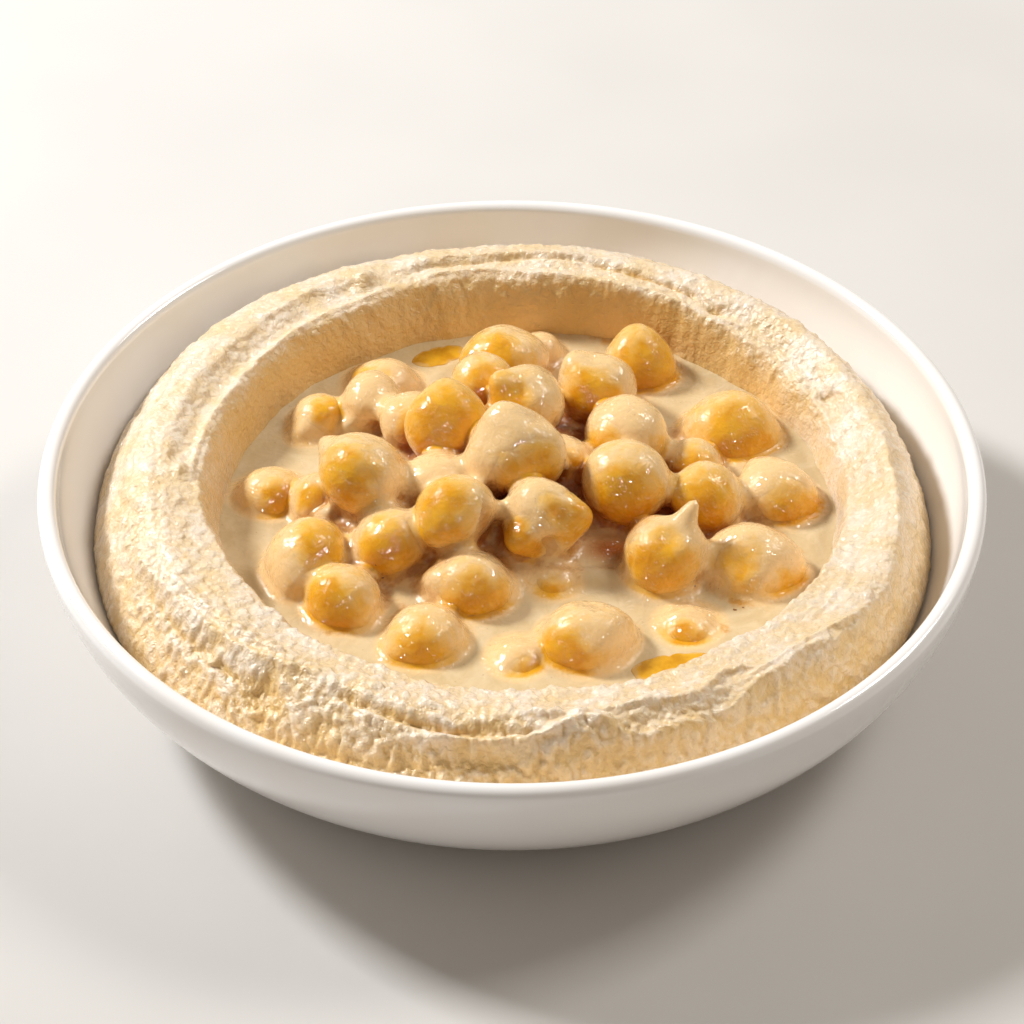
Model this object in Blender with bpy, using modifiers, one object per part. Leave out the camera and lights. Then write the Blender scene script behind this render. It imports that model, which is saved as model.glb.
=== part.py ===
"""Plate of chickpeas with tahini.

A shallow round plate holds a swirled ring of hummus. The hollow in the ring is
filled with a pool of tahini sauce, and cooked chickpeas lie heaped in the sauce.

Every chickpea, the sauce, the hummus and the plate are separate closed solids.
The origin is on the table, under the middle of the plate, with +Z up.
Lengths are millimetres until the meshes are made, which are in metres.
"""

import math
from collections import namedtuple

import bmesh
import bpy
from mathutils import Euler, Matrix, Vector
from mathutils.geometry import interpolate_bezier

MM = 0.001
ROUND_STEPS = 48
GAP = 0.3
MERGE_DISTANCE = 0.05
SHARP_ANGLE = math.radians(40.0)

# Plate
PLATE_RADIUS = 75.0
PLATE_HEIGHT = 30.0
LIP_THICKNESS = 3.0
PLATE_FLOOR = 5.0
FLOOR_RADIUS = 54.0
BELLY_RADIUS = 57.0
BELLY_HEIGHT = 2.4
FOOT_OUTER_RADIUS = 45.0
FOOT_INNER_RADIUS = 42.0
FOOT_OUTER_SLOPE = 1.5
FOOT_INNER_SLOPE = 1.0
FOOT_TOP_HEIGHT = 1.8
RECESS_HEIGHT = 1.6
WALL_STEPS = 6
LIP_STEPS = 4
INNER_WALL_HANDLES = ((64.0, 10.5), (PLATE_RADIUS - LIP_THICKNESS, 21.0))
OUTER_WALL_HANDLES = ((PLATE_RADIUS, 20.5), (67.4, 7.5))

# Hummus
WELL_FLOOR = 7.5
WELL_FOOT_RADIUS = 46.0
WELL_RADIUS = 49.4
WELL_SHIFT = Vector((2.6, 1.0, 0.0))
RING_EDGE_HEIGHT = 18.0
RING_EDGE_GAP = 0.6
RING_STEPS = 10
UNDERSIDE_DROP = 0.5
CREST_RISE = 11.3
CREST_RISE_TO_BACK = 0.6
CREST_PLACE = 0.54
CREST_SHIFT_TO_RIGHT = 0.05
CREST_SHIFT_TO_BACK = 0.06
INNER_ROUNDNESS = 0.6
OUTER_ROUNDNESS = 0.5
GROOVE_DEPTH = 1.1
GROOVE_PLACE = 0.74
GROOVE_WIDTH = 0.09
GROOVE_SWAY = 0.08
LEVEL_TOLERANCE = 0.1
EDGE_TOLERANCE = 0.001
FOLD_PLACE = Vector((11.0, -60.0))
FOLD_HEIGHT = 2.2
FOLD_RADIUS = 6.0

# Tahini
POOL_LEVEL = 17.5
POOL_RINGS = 6
MOUND_PLACE = Vector((-3.0, 7.0))
MOUND_HEIGHT = 5.0
MOUND_SPREAD = 21.0
MOUND_EDGE_FADE = 4
POCKET_REACH = 1.0

# Chickpeas: a beak at one pole, and a cleft from the beak over the top.
PEA_SIDES = 12
PEA_RINGS = 6
BEAK_LENGTH = 0.16
BEAK_SPREAD = math.radians(24.0)
CLEFT_DEPTH = 0.10
CLEFT_HALF_ANGLE = math.radians(16.0)
PEA_PROPORTIONS = Vector((1.04, 1.0, 0.95))
CLEFT_FADE = 0.5
PRESS_REACH = 0.75
PRESS_MARGIN = 0.05

Pea = namedtuple("Pea", "x y lift size turn tip roll")

# Plan position, height of the middle over the sauce level, mean diameter, and
# how the pea lies: its beak's compass turn, the beak's tip up, and its roll.
PEAS = (
    Pea(-1.5, 38.5, 3.0, 13.5, 200, 10, 20),
    Pea(5.0, 45.0, 0.5, 7.0, 80, 0, 0),
    Pea(21.5, 39.5, 1.5, 12.0, 320, -10, 30),
    Pea(-22.0, 35.5, -0.5, 11.5, 150, 10, 0),
    Pea(-23.5, 26.5, 3.5, 10.0, 250, 20, -30),
    Pea(-32.5, 25.0, 1.0, 9.0, 230, 0, 20),
    Pea(-5.0, 27.5, 6.5, 11.0, 100, 20, 0),
    Pea(2.5, 19.5, 8.5, 12.5, 60, 10, 40),
    Pea(14.0, 27.5, 4.5, 13.0, 90, 0, -10),
    Pea(-17.0, 19.5, 5.0, 10.0, 140, 10, 0),
    Pea(-10.5, 12.5, 9.5, 13.5, 95, 55, 0),
    Pea(0.5, 3.5, 10.5, 14.0, 330, -20, 50),
    Pea(8.0, 9.0, 5.0, 9.0, 20, 0, 0),
    Pea(18.5, 15.5, 5.0, 13.5, 120, 10, -20),
    Pea(18.5, 1.0, 6.5, 14.0, 290, -35, 0),
    Pea(36.5, 22.5, -0.5, 14.5, 350, 0, 30),
    Pea(29.5, 12.0, 1.5, 9.5, 170, 0, 0),
    Pea(31.0, 1.0, 3.5, 12.0, 210, 20, -30),
    Pea(43.0, 5.0, 1.0, 12.5, 310, 0, 10),
    Pea(-24.0, 0.5, 9.0, 14.0, 140, 15, 20),
    Pea(-31.5, 3.0, 2.0, 8.5, 240, 0, 0),
    Pea(-39.0, 6.0, -0.5, 10.5, 180, 0, 20),
    Pea(-12.0, 1.5, 6.0, 11.5, 60, 0, 0),
    Pea(-9.5, -9.0, 8.5, 12.5, 230, -10, 30),
    Pea(4.5, -8.5, 6.5, 13.5, 350, 10, 60),
    Pea(-19.5, -10.5, 3.5, 12.0, 185, 0, 10),
    Pea(-32.5, -12.0, 1.5, 13.0, 255, 0, 40),
    Pea(-26.0, -21.5, 1.5, 11.5, 300, -10, 0),
    Pea(-6.0, -18.0, 1.0, 12.0, 175, 10, 20),
    Pea(-13.5, -29.5, 0.0, 12.0, 215, 0, 0),
    Pea(11.0, -30.0, 0.5, 13.5, 10, 10, -20),
    Pea(24.0, -13.0, 3.5, 13.5, 50, 40, 0),
    Pea(37.5, -13.0, 0.5, 14.0, 340, 0, 30),
    Pea(6.0, -15.0, -2.0, 9.5, 100, 0, 0),
    Pea(27.5, -25.5, -2.5, 10.0, 30, 0, 0),
    Pea(1.0, -33.0, -2.5, 9.5, 270, 0, 0),
)


def clear_scene():
    """Remove every object that the new file came with."""
    for item in list(bpy.data.objects):
        bpy.data.objects.remove(item, do_unlink=True)


def new_collection(name):
    """Return a collection linked to the scene."""
    collection = bpy.data.collections.new(name)
    bpy.context.scene.collection.children.link(collection)
    return collection


def principled(name, colour, roughness):
    """Return a plain material with one colour and one roughness."""
    material = bpy.data.materials.new(name)
    material.use_nodes = True
    shader = material.node_tree.nodes["Principled BSDF"]
    shader.inputs["Base Color"].default_value = (*colour, 1.0)
    shader.inputs["Roughness"].default_value = roughness
    shader.inputs["Metallic"].default_value = 0.0
    material.diffuse_color = (*colour, 1.0)
    return material


def bump(distance, width):
    """Return a smooth hill of height 1 that fades over the width."""
    return math.exp(-((distance / width) ** 2))


def arc(centre, radius, start, end, steps):
    """Return points (r, z) along an arc between two angles in degrees."""
    angles = [math.radians(start + (end - start) * i / steps) for i in range(steps + 1)]
    return [(centre[0] + radius * math.cos(a), centre[1] + radius * math.sin(a)) for a in angles]


def curve(start, first_handle, second_handle, end, steps):
    """Return points (r, z) along a Bezier curve."""
    knots = [Vector((r, 0.0, z)) for r, z in (start, first_handle, second_handle, end)]
    return [(p.x, p.z) for p in interpolate_bezier(*knots, steps + 1)]


def inner_wall():
    """Return the plate's inside from the flat floor up to the lip."""
    lip_foot = PLATE_HEIGHT - LIP_THICKNESS / 2
    top = (PLATE_RADIUS - LIP_THICKNESS, lip_foot)
    return curve((FLOOR_RADIUS, PLATE_FLOOR), *INNER_WALL_HANDLES, top, WALL_STEPS)


def outer_wall():
    """Return the plate's outside from the lip down to the belly."""
    lip_foot = PLATE_HEIGHT - LIP_THICKNESS / 2
    belly = (BELLY_RADIUS, BELLY_HEIGHT)
    return curve((PLATE_RADIUS, lip_foot), *OUTER_WALL_HANDLES, belly, WALL_STEPS)


def plate_profile():
    """Return the plate's section from the middle of its floor, over the lip, to its underside."""
    lip_centre = (PLATE_RADIUS - LIP_THICKNESS / 2, PLATE_HEIGHT - LIP_THICKNESS / 2)
    lip = arc(lip_centre, LIP_THICKNESS / 2, 180, 0, LIP_STEPS)
    foot = [
        (FOOT_OUTER_RADIUS + FOOT_OUTER_SLOPE, FOOT_TOP_HEIGHT),
        (FOOT_OUTER_RADIUS, 0.0),
        (FOOT_INNER_RADIUS, 0.0),
        (FOOT_INNER_RADIUS - FOOT_INNER_SLOPE, RECESS_HEIGHT),
        (0.0, RECESS_HEIGHT),
    ]
    return [(0.0, PLATE_FLOOR)] + inner_wall() + lip[1:-1] + outer_wall() + foot


def ring_radius():
    """Return the radius at which the hummus meets the plate's wall."""
    wall = inner_wall()
    for (r0, z0), (r1, z1) in zip(wall, wall[1:]):
        if z0 <= RING_EDGE_HEIGHT <= z1:
            return r0 + (r1 - r0) * (RING_EDGE_HEIGHT - z0) / (z1 - z0) - RING_EDGE_GAP
    return wall[-1][0]


def hummus_profile():
    """Return the mean section of the hummus: floor of the well, ring, and underside."""
    step = (ring_radius() - WELL_RADIUS) / RING_STEPS
    ring = [(WELL_RADIUS + step * i, RING_EDGE_HEIGHT) for i in range(RING_STEPS + 1)]
    wall = reversed(inner_wall())
    highest = RING_EDGE_HEIGHT - UNDERSIDE_DROP
    underside = [(r - GAP, z + GAP) for r, z in wall if z + GAP < highest]
    floor = [(0.0, WELL_FLOOR), (WELL_FOOT_RADIUS, WELL_FLOOR)]
    return floor + ring + underside + [(0.0, PLATE_FLOOR + GAP)]


def tahini_profile():
    """Return the section of the sauce, which fills the well up to the pool level."""
    rim = (WELL_RADIUS - GAP, POOL_LEVEL)
    top = [(rim[0] * i / POOL_RINGS, POOL_LEVEL) for i in range(POOL_RINGS)]
    foot = WELL_FOOT_RADIUS - GAP
    return top + [rim, (foot, WELL_FLOOR + GAP), (0.0, WELL_FLOOR + GAP)]


def turned(name, profile, collection, material):
    """Turn a section about the Z axis with a Screw modifier, and apply it."""
    mesh = bpy.data.meshes.new(name)
    points = [(r * MM, 0.0, z * MM) for r, z in profile]
    mesh.from_pydata(points, [(i, i + 1) for i in range(len(points) - 1)], [])
    item = bpy.data.objects.new(name, mesh)
    collection.objects.link(item)
    screw = item.modifiers.new("Turn", "SCREW")
    screw.steps = ROUND_STEPS
    screw.render_steps = ROUND_STEPS
    screw.use_merge_vertices = True
    screw.merge_threshold = MERGE_DISTANCE * MM
    bpy.context.view_layer.update()
    evaluated = item.evaluated_get(bpy.context.evaluated_depsgraph_get())
    solid = bpy.data.meshes.new_from_object(evaluated)
    item.modifiers.clear()
    item.data = solid
    bpy.data.meshes.remove(mesh)
    solid.name = name
    solid.materials.append(material)
    solid.shade_smooth()
    solid.set_sharp_from_angle(angle=SHARP_ANGLE)
    return item


def ring_rise(angle, across):
    """Return the rise of the hummus over the pool level.

    The angle runs round the plate from +X. Across is 0 at the pool and 1 at the
    outer edge of the ring.
    """
    back = math.sin(angle)
    crest = CREST_PLACE + CREST_SHIFT_TO_RIGHT * math.cos(angle) + CREST_SHIFT_TO_BACK * back
    height = CREST_RISE + CREST_RISE_TO_BACK * back
    if across < crest:
        shape = math.sin(math.pi / 2 * across / crest) ** INNER_ROUNDNESS
    else:
        fall = math.cos(math.pi / 2 * (across - crest) / (1.0 - crest))
        shape = max(fall, 0.0) ** OUTER_ROUNDNESS
    edge_rise = (RING_EDGE_HEIGHT - POOL_LEVEL) * across ** 2
    groove_place = GROOVE_PLACE + GROOVE_SWAY * math.sin(2.0 * angle + 1.0)
    groove = GROOVE_DEPTH * bump(across - groove_place, GROOVE_WIDTH)
    return height * shape + edge_rise - groove * shape


def shape_hummus(item):
    """Raise the ring to its swirled form and move the well to its own centre."""
    span = ring_radius() - WELL_RADIUS
    for vertex in item.data.vertices:
        place = vertex.co / MM
        radius = math.hypot(place.x, place.y)
        across = (radius - WELL_RADIUS) / span
        on_ring = place.z > RING_EDGE_HEIGHT - LEVEL_TOLERANCE
        on_well = abs(place.z - WELL_FLOOR) < LEVEL_TOLERANCE
        if on_ring and across < 1.0 - EDGE_TOLERANCE:
            across = max(across, 0.0)
            angle = math.atan2(place.y, place.x)
            place += WELL_SHIFT * (1.0 - across)
            place.z = POOL_LEVEL + ring_rise(angle, across)
            place.z += FOLD_HEIGHT * bump((place.xy - FOLD_PLACE).length, FOLD_RADIUS)
        elif on_well:
            place += WELL_SHIFT
        vertex.co = place * MM


def mound_rise(place):
    """Return how far the low mound of sauce rises at a plan position."""
    return MOUND_HEIGHT * bump((place - MOUND_PLACE).length, MOUND_SPREAD)


def shape_tahini(item):
    """Move the pool to the well's centre and raise the low mound under the heap."""
    for vertex in item.data.vertices:
        place = vertex.co / MM + WELL_SHIFT
        if place.z > POOL_LEVEL - LEVEL_TOLERANCE:
            edge = math.hypot(vertex.co.x, vertex.co.y) / MM / WELL_RADIUS
            place.z += mound_rise(place.xy) * (1.0 - edge ** MOUND_EDGE_FADE)
        vertex.co = place * MM


def pea_radius(direction):
    """Return the radius of a unit chickpea in a direction, with the beak along +X."""
    from_beak = direction.angle(Vector((1.0, 0.0, 0.0)))
    around = math.atan2(direction.y, direction.z)
    beak = BEAK_LENGTH * bump(from_beak, BEAK_SPREAD)
    cleft = CLEFT_DEPTH * bump(around, CLEFT_HALF_ANGLE)
    cleft *= max(math.sin(from_beak), 0.0) ** CLEFT_FADE
    return 1.0 + beak - cleft


def pea_centre(pea):
    """Return the middle of a chickpea in millimetres."""
    return Vector((pea.x, pea.y, POOL_LEVEL + pea.lift))


def pea_points(bm, pea, swell):
    """Shape a unit sphere in bm into one chickpea, swollen by a distance in millimetres."""
    turn = Euler((math.radians(pea.roll), math.radians(-pea.tip), math.radians(pea.turn)), "XYZ")
    centre = pea_centre(pea)
    for vertex in bm.verts:
        direction = vertex.co.normalized()
        shaped = direction * pea_radius(direction) * (pea.size / 2)
        shaped = Vector(a * b for a, b in zip(shaped, PEA_PROPORTIONS))
        shaped += direction * swell
        vertex.co = centre + turn.to_matrix() @ shaped


def press_against(bm, pea, swell):
    """Flatten a chickpea where it meets its neighbours, leaving the gap between them."""
    centre = pea_centre(pea)
    for other in PEAS:
        if other is pea:
            continue
        apart = pea_centre(other) - centre
        if apart.length > PRESS_REACH * (pea.size + other.size):
            continue
        normal = apart.normalized()
        share = apart.length * pea.size / (pea.size + other.size)
        limit = share - GAP / 2 - PRESS_MARGIN + swell
        for vertex in bm.verts:
            excess = (vertex.co - centre).dot(normal) - limit
            if excess > 0.0:
                vertex.co -= normal * excess


def pea_object(name, pea, swell, collection, material):
    """Make one chickpea, or its swollen copy that cuts the sauce."""
    bm = bmesh.new()
    beak_pole = Matrix.Rotation(math.radians(90.0), 4, "Y")
    bmesh.ops.create_uvsphere(
        bm, u_segments=PEA_SIDES, v_segments=PEA_RINGS, radius=1.0, matrix=beak_pole
    )
    pea_points(bm, pea, swell)
    press_against(bm, pea, swell)
    centre = pea_centre(pea)
    for vertex in bm.verts:
        vertex.co = (vertex.co - centre) * MM
    mesh = bpy.data.meshes.new(name)
    bm.to_mesh(mesh)
    bm.free()
    mesh.shade_smooth()
    if material:
        mesh.materials.append(material)
    item = bpy.data.objects.new(name, mesh)
    item.location = centre * MM
    collection.objects.link(item)
    return item


def reaches_sauce(pea):
    """Tell whether a chickpea dips into the sauce or its mound."""
    return pea.lift - pea.size / 2 < mound_rise(Vector((pea.x, pea.y))) + POCKET_REACH


def main():
    """Build the plate, the hummus, the tahini and the chickpeas."""
    clear_scene()
    parts = new_collection("plate_of_chickpeas_with_tahini")
    cutters = new_collection("pockets")

    glaze = principled("white_glaze", (0.86, 0.83, 0.79), 0.15)
    hummus_paste = principled("hummus_paste", (0.78, 0.56, 0.33), 0.55)
    tahini_sauce = principled("tahini_sauce", (0.66, 0.46, 0.25), 0.25)
    chickpea_skin = principled("chickpea_skin", (0.68, 0.32, 0.05), 0.3)

    turned("plate", plate_profile(), parts, glaze)

    hummus = turned("hummus", hummus_profile(), parts, hummus_paste)
    shape_hummus(hummus)

    tahini = turned("tahini", tahini_profile(), parts, tahini_sauce)
    shape_tahini(tahini)

    for number, pea in enumerate(PEAS, start=1):
        pea_object(f"chickpea_{number:02d}", pea, 0.0, parts, chickpea_skin)
        if reaches_sauce(pea):
            pocket = pea_object(f"pocket_{number:02d}", pea, GAP, cutters, None)
            pocket.hide_render = True
            pocket.display_type = "WIRE"

    cut = tahini.modifiers.new("Pockets", "BOOLEAN")
    cut.operation = "DIFFERENCE"
    cut.operand_type = "COLLECTION"
    cut.collection = cutters
    cut.solver = "EXACT"


main()
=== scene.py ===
"""Looks of a plate of chickpeas with tahini.

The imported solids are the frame. Each visible thing is modelled again here at its own
place and size: a glazed plate, a swirled ring of hummus, a pool of tahini sauce that
clings to the chickpeas, the chickpeas, thin patches of oil and small bits of peel.
"""

import logging
import math
from dataclasses import dataclass, field, fields
from enum import Enum
from typing import Sequence

import bpy
import numpy as np
from mathutils import Euler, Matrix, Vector, noise
from mathutils.bvhtree import BVHTree
from mathutils.geometry import interpolate_bezier


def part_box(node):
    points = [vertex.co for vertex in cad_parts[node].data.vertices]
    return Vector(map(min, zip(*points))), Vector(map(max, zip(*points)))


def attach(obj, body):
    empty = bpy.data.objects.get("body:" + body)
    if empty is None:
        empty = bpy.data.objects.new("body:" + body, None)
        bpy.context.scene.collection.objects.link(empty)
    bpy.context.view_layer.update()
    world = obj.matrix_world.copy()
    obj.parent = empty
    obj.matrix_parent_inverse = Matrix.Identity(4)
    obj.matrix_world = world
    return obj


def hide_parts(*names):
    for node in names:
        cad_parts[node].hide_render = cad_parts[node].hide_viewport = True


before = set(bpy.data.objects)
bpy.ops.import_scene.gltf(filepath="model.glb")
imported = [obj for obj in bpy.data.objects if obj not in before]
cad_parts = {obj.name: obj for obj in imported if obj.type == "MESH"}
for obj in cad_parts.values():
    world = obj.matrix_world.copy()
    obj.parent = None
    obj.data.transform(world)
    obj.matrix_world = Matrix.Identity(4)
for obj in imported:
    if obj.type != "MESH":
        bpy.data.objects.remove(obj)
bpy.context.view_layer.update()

MM = 0.001
BODY = "root"
LOG = logging.getLogger("plate_of_chickpeas")
POOL_LEVEL = 17.5
ABOVE_ALL = 60.0
WINDOW_TURN = 150.0
WINDOW_TIP = 40.0

Colour = tuple[float, float, float]
Item = bpy.types.Object
Material = bpy.types.Material
Socket = bpy.types.NodeSocket
Value = Socket | Colour | float


class Slot(Enum):
    """Material slots of the record."""

    GLAZE = "glaze"
    HUMMUS = "hummus"
    TAHINI = "tahini"
    CHICKPEA = "chickpea"


class Shaper(Enum):
    """Modifiers that give a piece its shape."""

    SPIN = "SCREW"
    MELT = "REMESH"
    SWELL = "DISPLACE"
    SOFTEN = "SMOOTH"


class Layer(Enum):
    """Numbers painted on the vertices of a mesh, which its material reads."""

    # Painted shade of the hummus, in hollows and where the paste turns away from the window.
    HOLLOW = "hollow"
    CREAM = "cream"
    POOL = "pool"
    # Painted shade in the gaps of the heap, where it hides the sky.
    CREVICE = "crevice"
    OIL = "oil"
    EDGE = "edge"


class Maths(Enum):
    """Sums that a material does with two values."""

    ADD = "ADD"
    TIMES = "MULTIPLY"


# ---------------------------------------------------------------- small tools


def linear(red: float, green: float, blue: float) -> Colour:
    """Turn a display colour of 0 to 255 into the linear colour that shaders use.

    Args:
        red: Red of the display colour.
        green: Green of the display colour.
        blue: Blue of the display colour.

    Returns:
        The linear colour, each channel from 0 to 1.
    """

    def channel(value: float) -> float:
        """Turn one channel."""
        share = value / 255.0
        return share / 12.92 if share <= 0.04045 else ((share + 0.055) / 1.055) ** 2.4

    return channel(red), channel(green), channel(blue)


def ease(low: float, high: float, value: np.ndarray) -> np.ndarray:
    """Return a smooth step from 0 at low to 1 at high."""
    share = np.clip((value - low) / (high - low), 0.0, 1.0)
    return share * share * (3.0 - 2.0 * share)


def hill(distance: np.ndarray, width: float) -> np.ndarray:
    """Return a smooth hill of height 1 that fades over the width."""
    return np.exp(-((distance / width) ** 2))


def round_table(values: Sequence[float], angle: np.ndarray) -> np.ndarray:
    """Read a smooth closed curve that passes through evenly spaced values.

    Args:
        values: Values at equal steps of angle, the first at +X.
        angle: Angles in radians, anticlockwise from +X.

    Returns:
        The curve's value at each angle.
    """
    table = np.asarray(values, dtype=float)
    count = len(table)
    place = np.mod(angle, 2.0 * np.pi) / (2.0 * np.pi) * count
    index = np.floor(place).astype(int)
    share = place - index
    before, here, after, beyond = (table[(index + k) % count] for k in (-1, 0, 1, 2))
    slope_here = (after - before) / 2.0
    slope_after = (beyond - here) / 2.0
    square, cube = share**2, share**3
    return (
        (2 * cube - 3 * square + 1) * here
        + (cube - 2 * square + share) * slope_here
        + (3 * square - 2 * cube) * after
        + (cube - square) * slope_after
    )


def grain(points: np.ndarray, size: float, octaves: int, seed: float) -> np.ndarray:
    """Return fractal noise of about -1 to 1, lumps of a size apart, at points in millimetres."""
    shift = Vector((seed * 7.31, seed * 3.17, seed * 5.77))
    return np.array([noise.fractal(Vector(p) / size + shift, 1.0, 2.1, octaves) for p in points])


def compass(turn: float, tip: float) -> np.ndarray:
    """Return the unit direction with a compass turn from +X and a tip upwards, in degrees."""
    a, b = math.radians(turn), math.radians(tip)
    return np.array((math.cos(b) * math.cos(a), math.cos(b) * math.sin(a), math.sin(b)))


def on_circle(angle: np.ndarray, radius: float) -> np.ndarray:
    """Return the points of a flat circle at angles in radians, one row each."""
    return np.column_stack((np.cos(angle), np.sin(angle), 0.0 * angle)) * radius


def mesh_points(item: Item) -> np.ndarray:
    """Read an object's vertices.

    Args:
        item: The mesh object.

    Returns:
        The vertices in millimetres, one row each.
    """
    flat = np.empty(len(item.data.vertices) * 3)
    item.data.vertices.foreach_get("co", flat)
    return flat.reshape(-1, 3) / MM


def mesh_normals(item: Item) -> np.ndarray:
    """Read an object's vertex normals.

    Args:
        item: The mesh object.

    Returns:
        Unit normals, one row for each vertex.
    """
    flat = np.empty(len(item.data.vertices) * 3)
    item.data.vertices.foreach_get("normal", flat)
    return flat.reshape(-1, 3)


def move_points(item: Item, points: np.ndarray) -> None:
    """Put an object's vertices at places given in millimetres."""
    item.data.vertices.foreach_set("co", (points * MM).ravel())
    item.data.update()


def paint(item: Item, layer: Layer, values: np.ndarray) -> None:
    """Store one number for each vertex as an attribute that a material can read."""
    stored = item.data.attributes.new(layer.value, "FLOAT", "POINT")
    stored.data.foreach_set("value", values.astype(np.float32))


def deselect_all() -> None:
    """Leave nothing selected, in object mode."""
    if bpy.context.object and bpy.context.object.mode != "OBJECT":
        bpy.ops.object.mode_set(mode="OBJECT")
    bpy.ops.object.select_all(action="DESELECT")


def pick(item: Item) -> None:
    """Make one object the only selected one, and the active one.

    Args:
        item: The object.
    """
    deselect_all()
    item.select_set(True)
    bpy.context.view_layer.objects.active = item


def edit_all(item: Item) -> None:
    """Open an object in edit mode with its whole mesh selected.

    Args:
        item: The object.
    """
    pick(item)
    bpy.ops.object.mode_set(mode="EDIT")
    bpy.ops.mesh.select_all(action="SELECT")


def leave_edit() -> None:
    """Go back to object mode."""
    bpy.ops.object.mode_set(mode="OBJECT")


def apply_modifier(item: Item, shaper: Shaper, **settings: object) -> None:
    """Add a modifier with settings and apply it.

    Args:
        item: Object that is changed.
        shaper: The modifier.
        **settings: Values of the modifier's properties.
    """
    pick(item)
    modifier = item.modifiers.new(shaper.name.title(), shaper.value)
    for name, value in settings.items():
        setattr(modifier, name, value)
    bpy.ops.object.modifier_apply(modifier=modifier.name)


def settle(item: Item) -> None:
    """Move an object's place, turn and size into its mesh."""
    pick(item)
    bpy.ops.object.transform_apply(location=True, rotation=True, scale=True)


def join(pieces: Sequence[Item]) -> Item:
    """Join objects into the first one.

    Args:
        pieces: The objects.

    Returns:
        The first object, which now holds them all.
    """
    pick(pieces[0])
    for piece in pieces:
        piece.select_set(True)
    bpy.ops.object.join()
    return pieces[0]


def copy_of(item: Item, name: str) -> Item:
    """Copy an object with a mesh of its own.

    Args:
        item: The object.
        name: Name of the copy.

    Returns:
        The copy, which stands in the scene.
    """
    twin = item.copy()
    twin.data = item.data.copy()
    twin.name = name
    bpy.context.scene.collection.objects.link(twin)
    return twin


def ball(name: str, segments: int, rings: int) -> Item:
    """Add a sphere of one metre's radius at the origin, with its faces outwards.

    Args:
        name: Name of the new object.
        segments: Number of faces round the sphere.
        rings: Number of faces from pole to pole.

    Returns:
        The sphere, which is shaped by moving its vertices.
    """
    deselect_all()
    bpy.ops.mesh.primitive_uv_sphere_add(segments=segments, ring_count=rings, radius=1.0)
    item = bpy.context.object
    item.name = name
    edit_all(item)
    bpy.ops.mesh.normals_make_consistent(inside=False)
    leave_edit()
    return item


def below(tree: BVHTree, x: float, y: float) -> Vector | None:
    """Return the first place in metres under a point of the plan in millimetres."""
    return tree.ray_cast(Vector((x, y, ABOVE_ALL)) * MM, Vector((0.0, 0.0, -1.0)))[0]


def turned(name: str, section: Sequence[tuple[float, float]], steps: int) -> Item:
    """Spin a section about the Z axis into a closed mesh.

    Args:
        name: Name of the new object.
        section: Points (radius, height) in millimetres, from the top's middle round to
            the underside's middle.
        steps: Number of steps in the full turn.

    Returns:
        The new object, at the origin.
    """
    deselect_all()
    bpy.ops.mesh.primitive_plane_add(size=MM)
    item = bpy.context.object
    item.name = name
    edit_all(item)
    bpy.ops.mesh.merge(type="CENTER")
    first = Vector((section[0][0], 0.0, section[0][1])) * MM
    bpy.ops.transform.translate(value=first)
    for (r0, z0), (r1, z1) in zip(section, section[1:]):
        step = Vector((r1 - r0, 0.0, z1 - z0)) * MM
        bpy.ops.mesh.extrude_region_move(TRANSFORM_OT_translate={"value": step})
    leave_edit()
    apply_modifier(item, Shaper.SPIN, steps=steps, render_steps=steps, use_merge_vertices=True)
    edit_all(item)
    bpy.ops.mesh.remove_doubles(threshold=0.00001)
    bpy.ops.mesh.normals_make_consistent(inside=False)
    leave_edit()
    return item


def finished(
    item: Item, material: Material, replaced: Sequence[str] = ()
) -> None:
    """Give a piece its material, and tie it to the frame.

    Args:
        item: The finished piece.
        material: The material it shows.
        replaced: Nodes of the frame that it stands for.
    """
    item.data.materials.clear()
    item.data.materials.append(material)
    item.data.shade_smooth()
    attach(item, BODY)
    if replaced:
        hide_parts(*replaced)
    LOG.info("%s: %d faces", item.name, len(item.data.polygons))


# ------------------------------------------------------------------ materials


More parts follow.
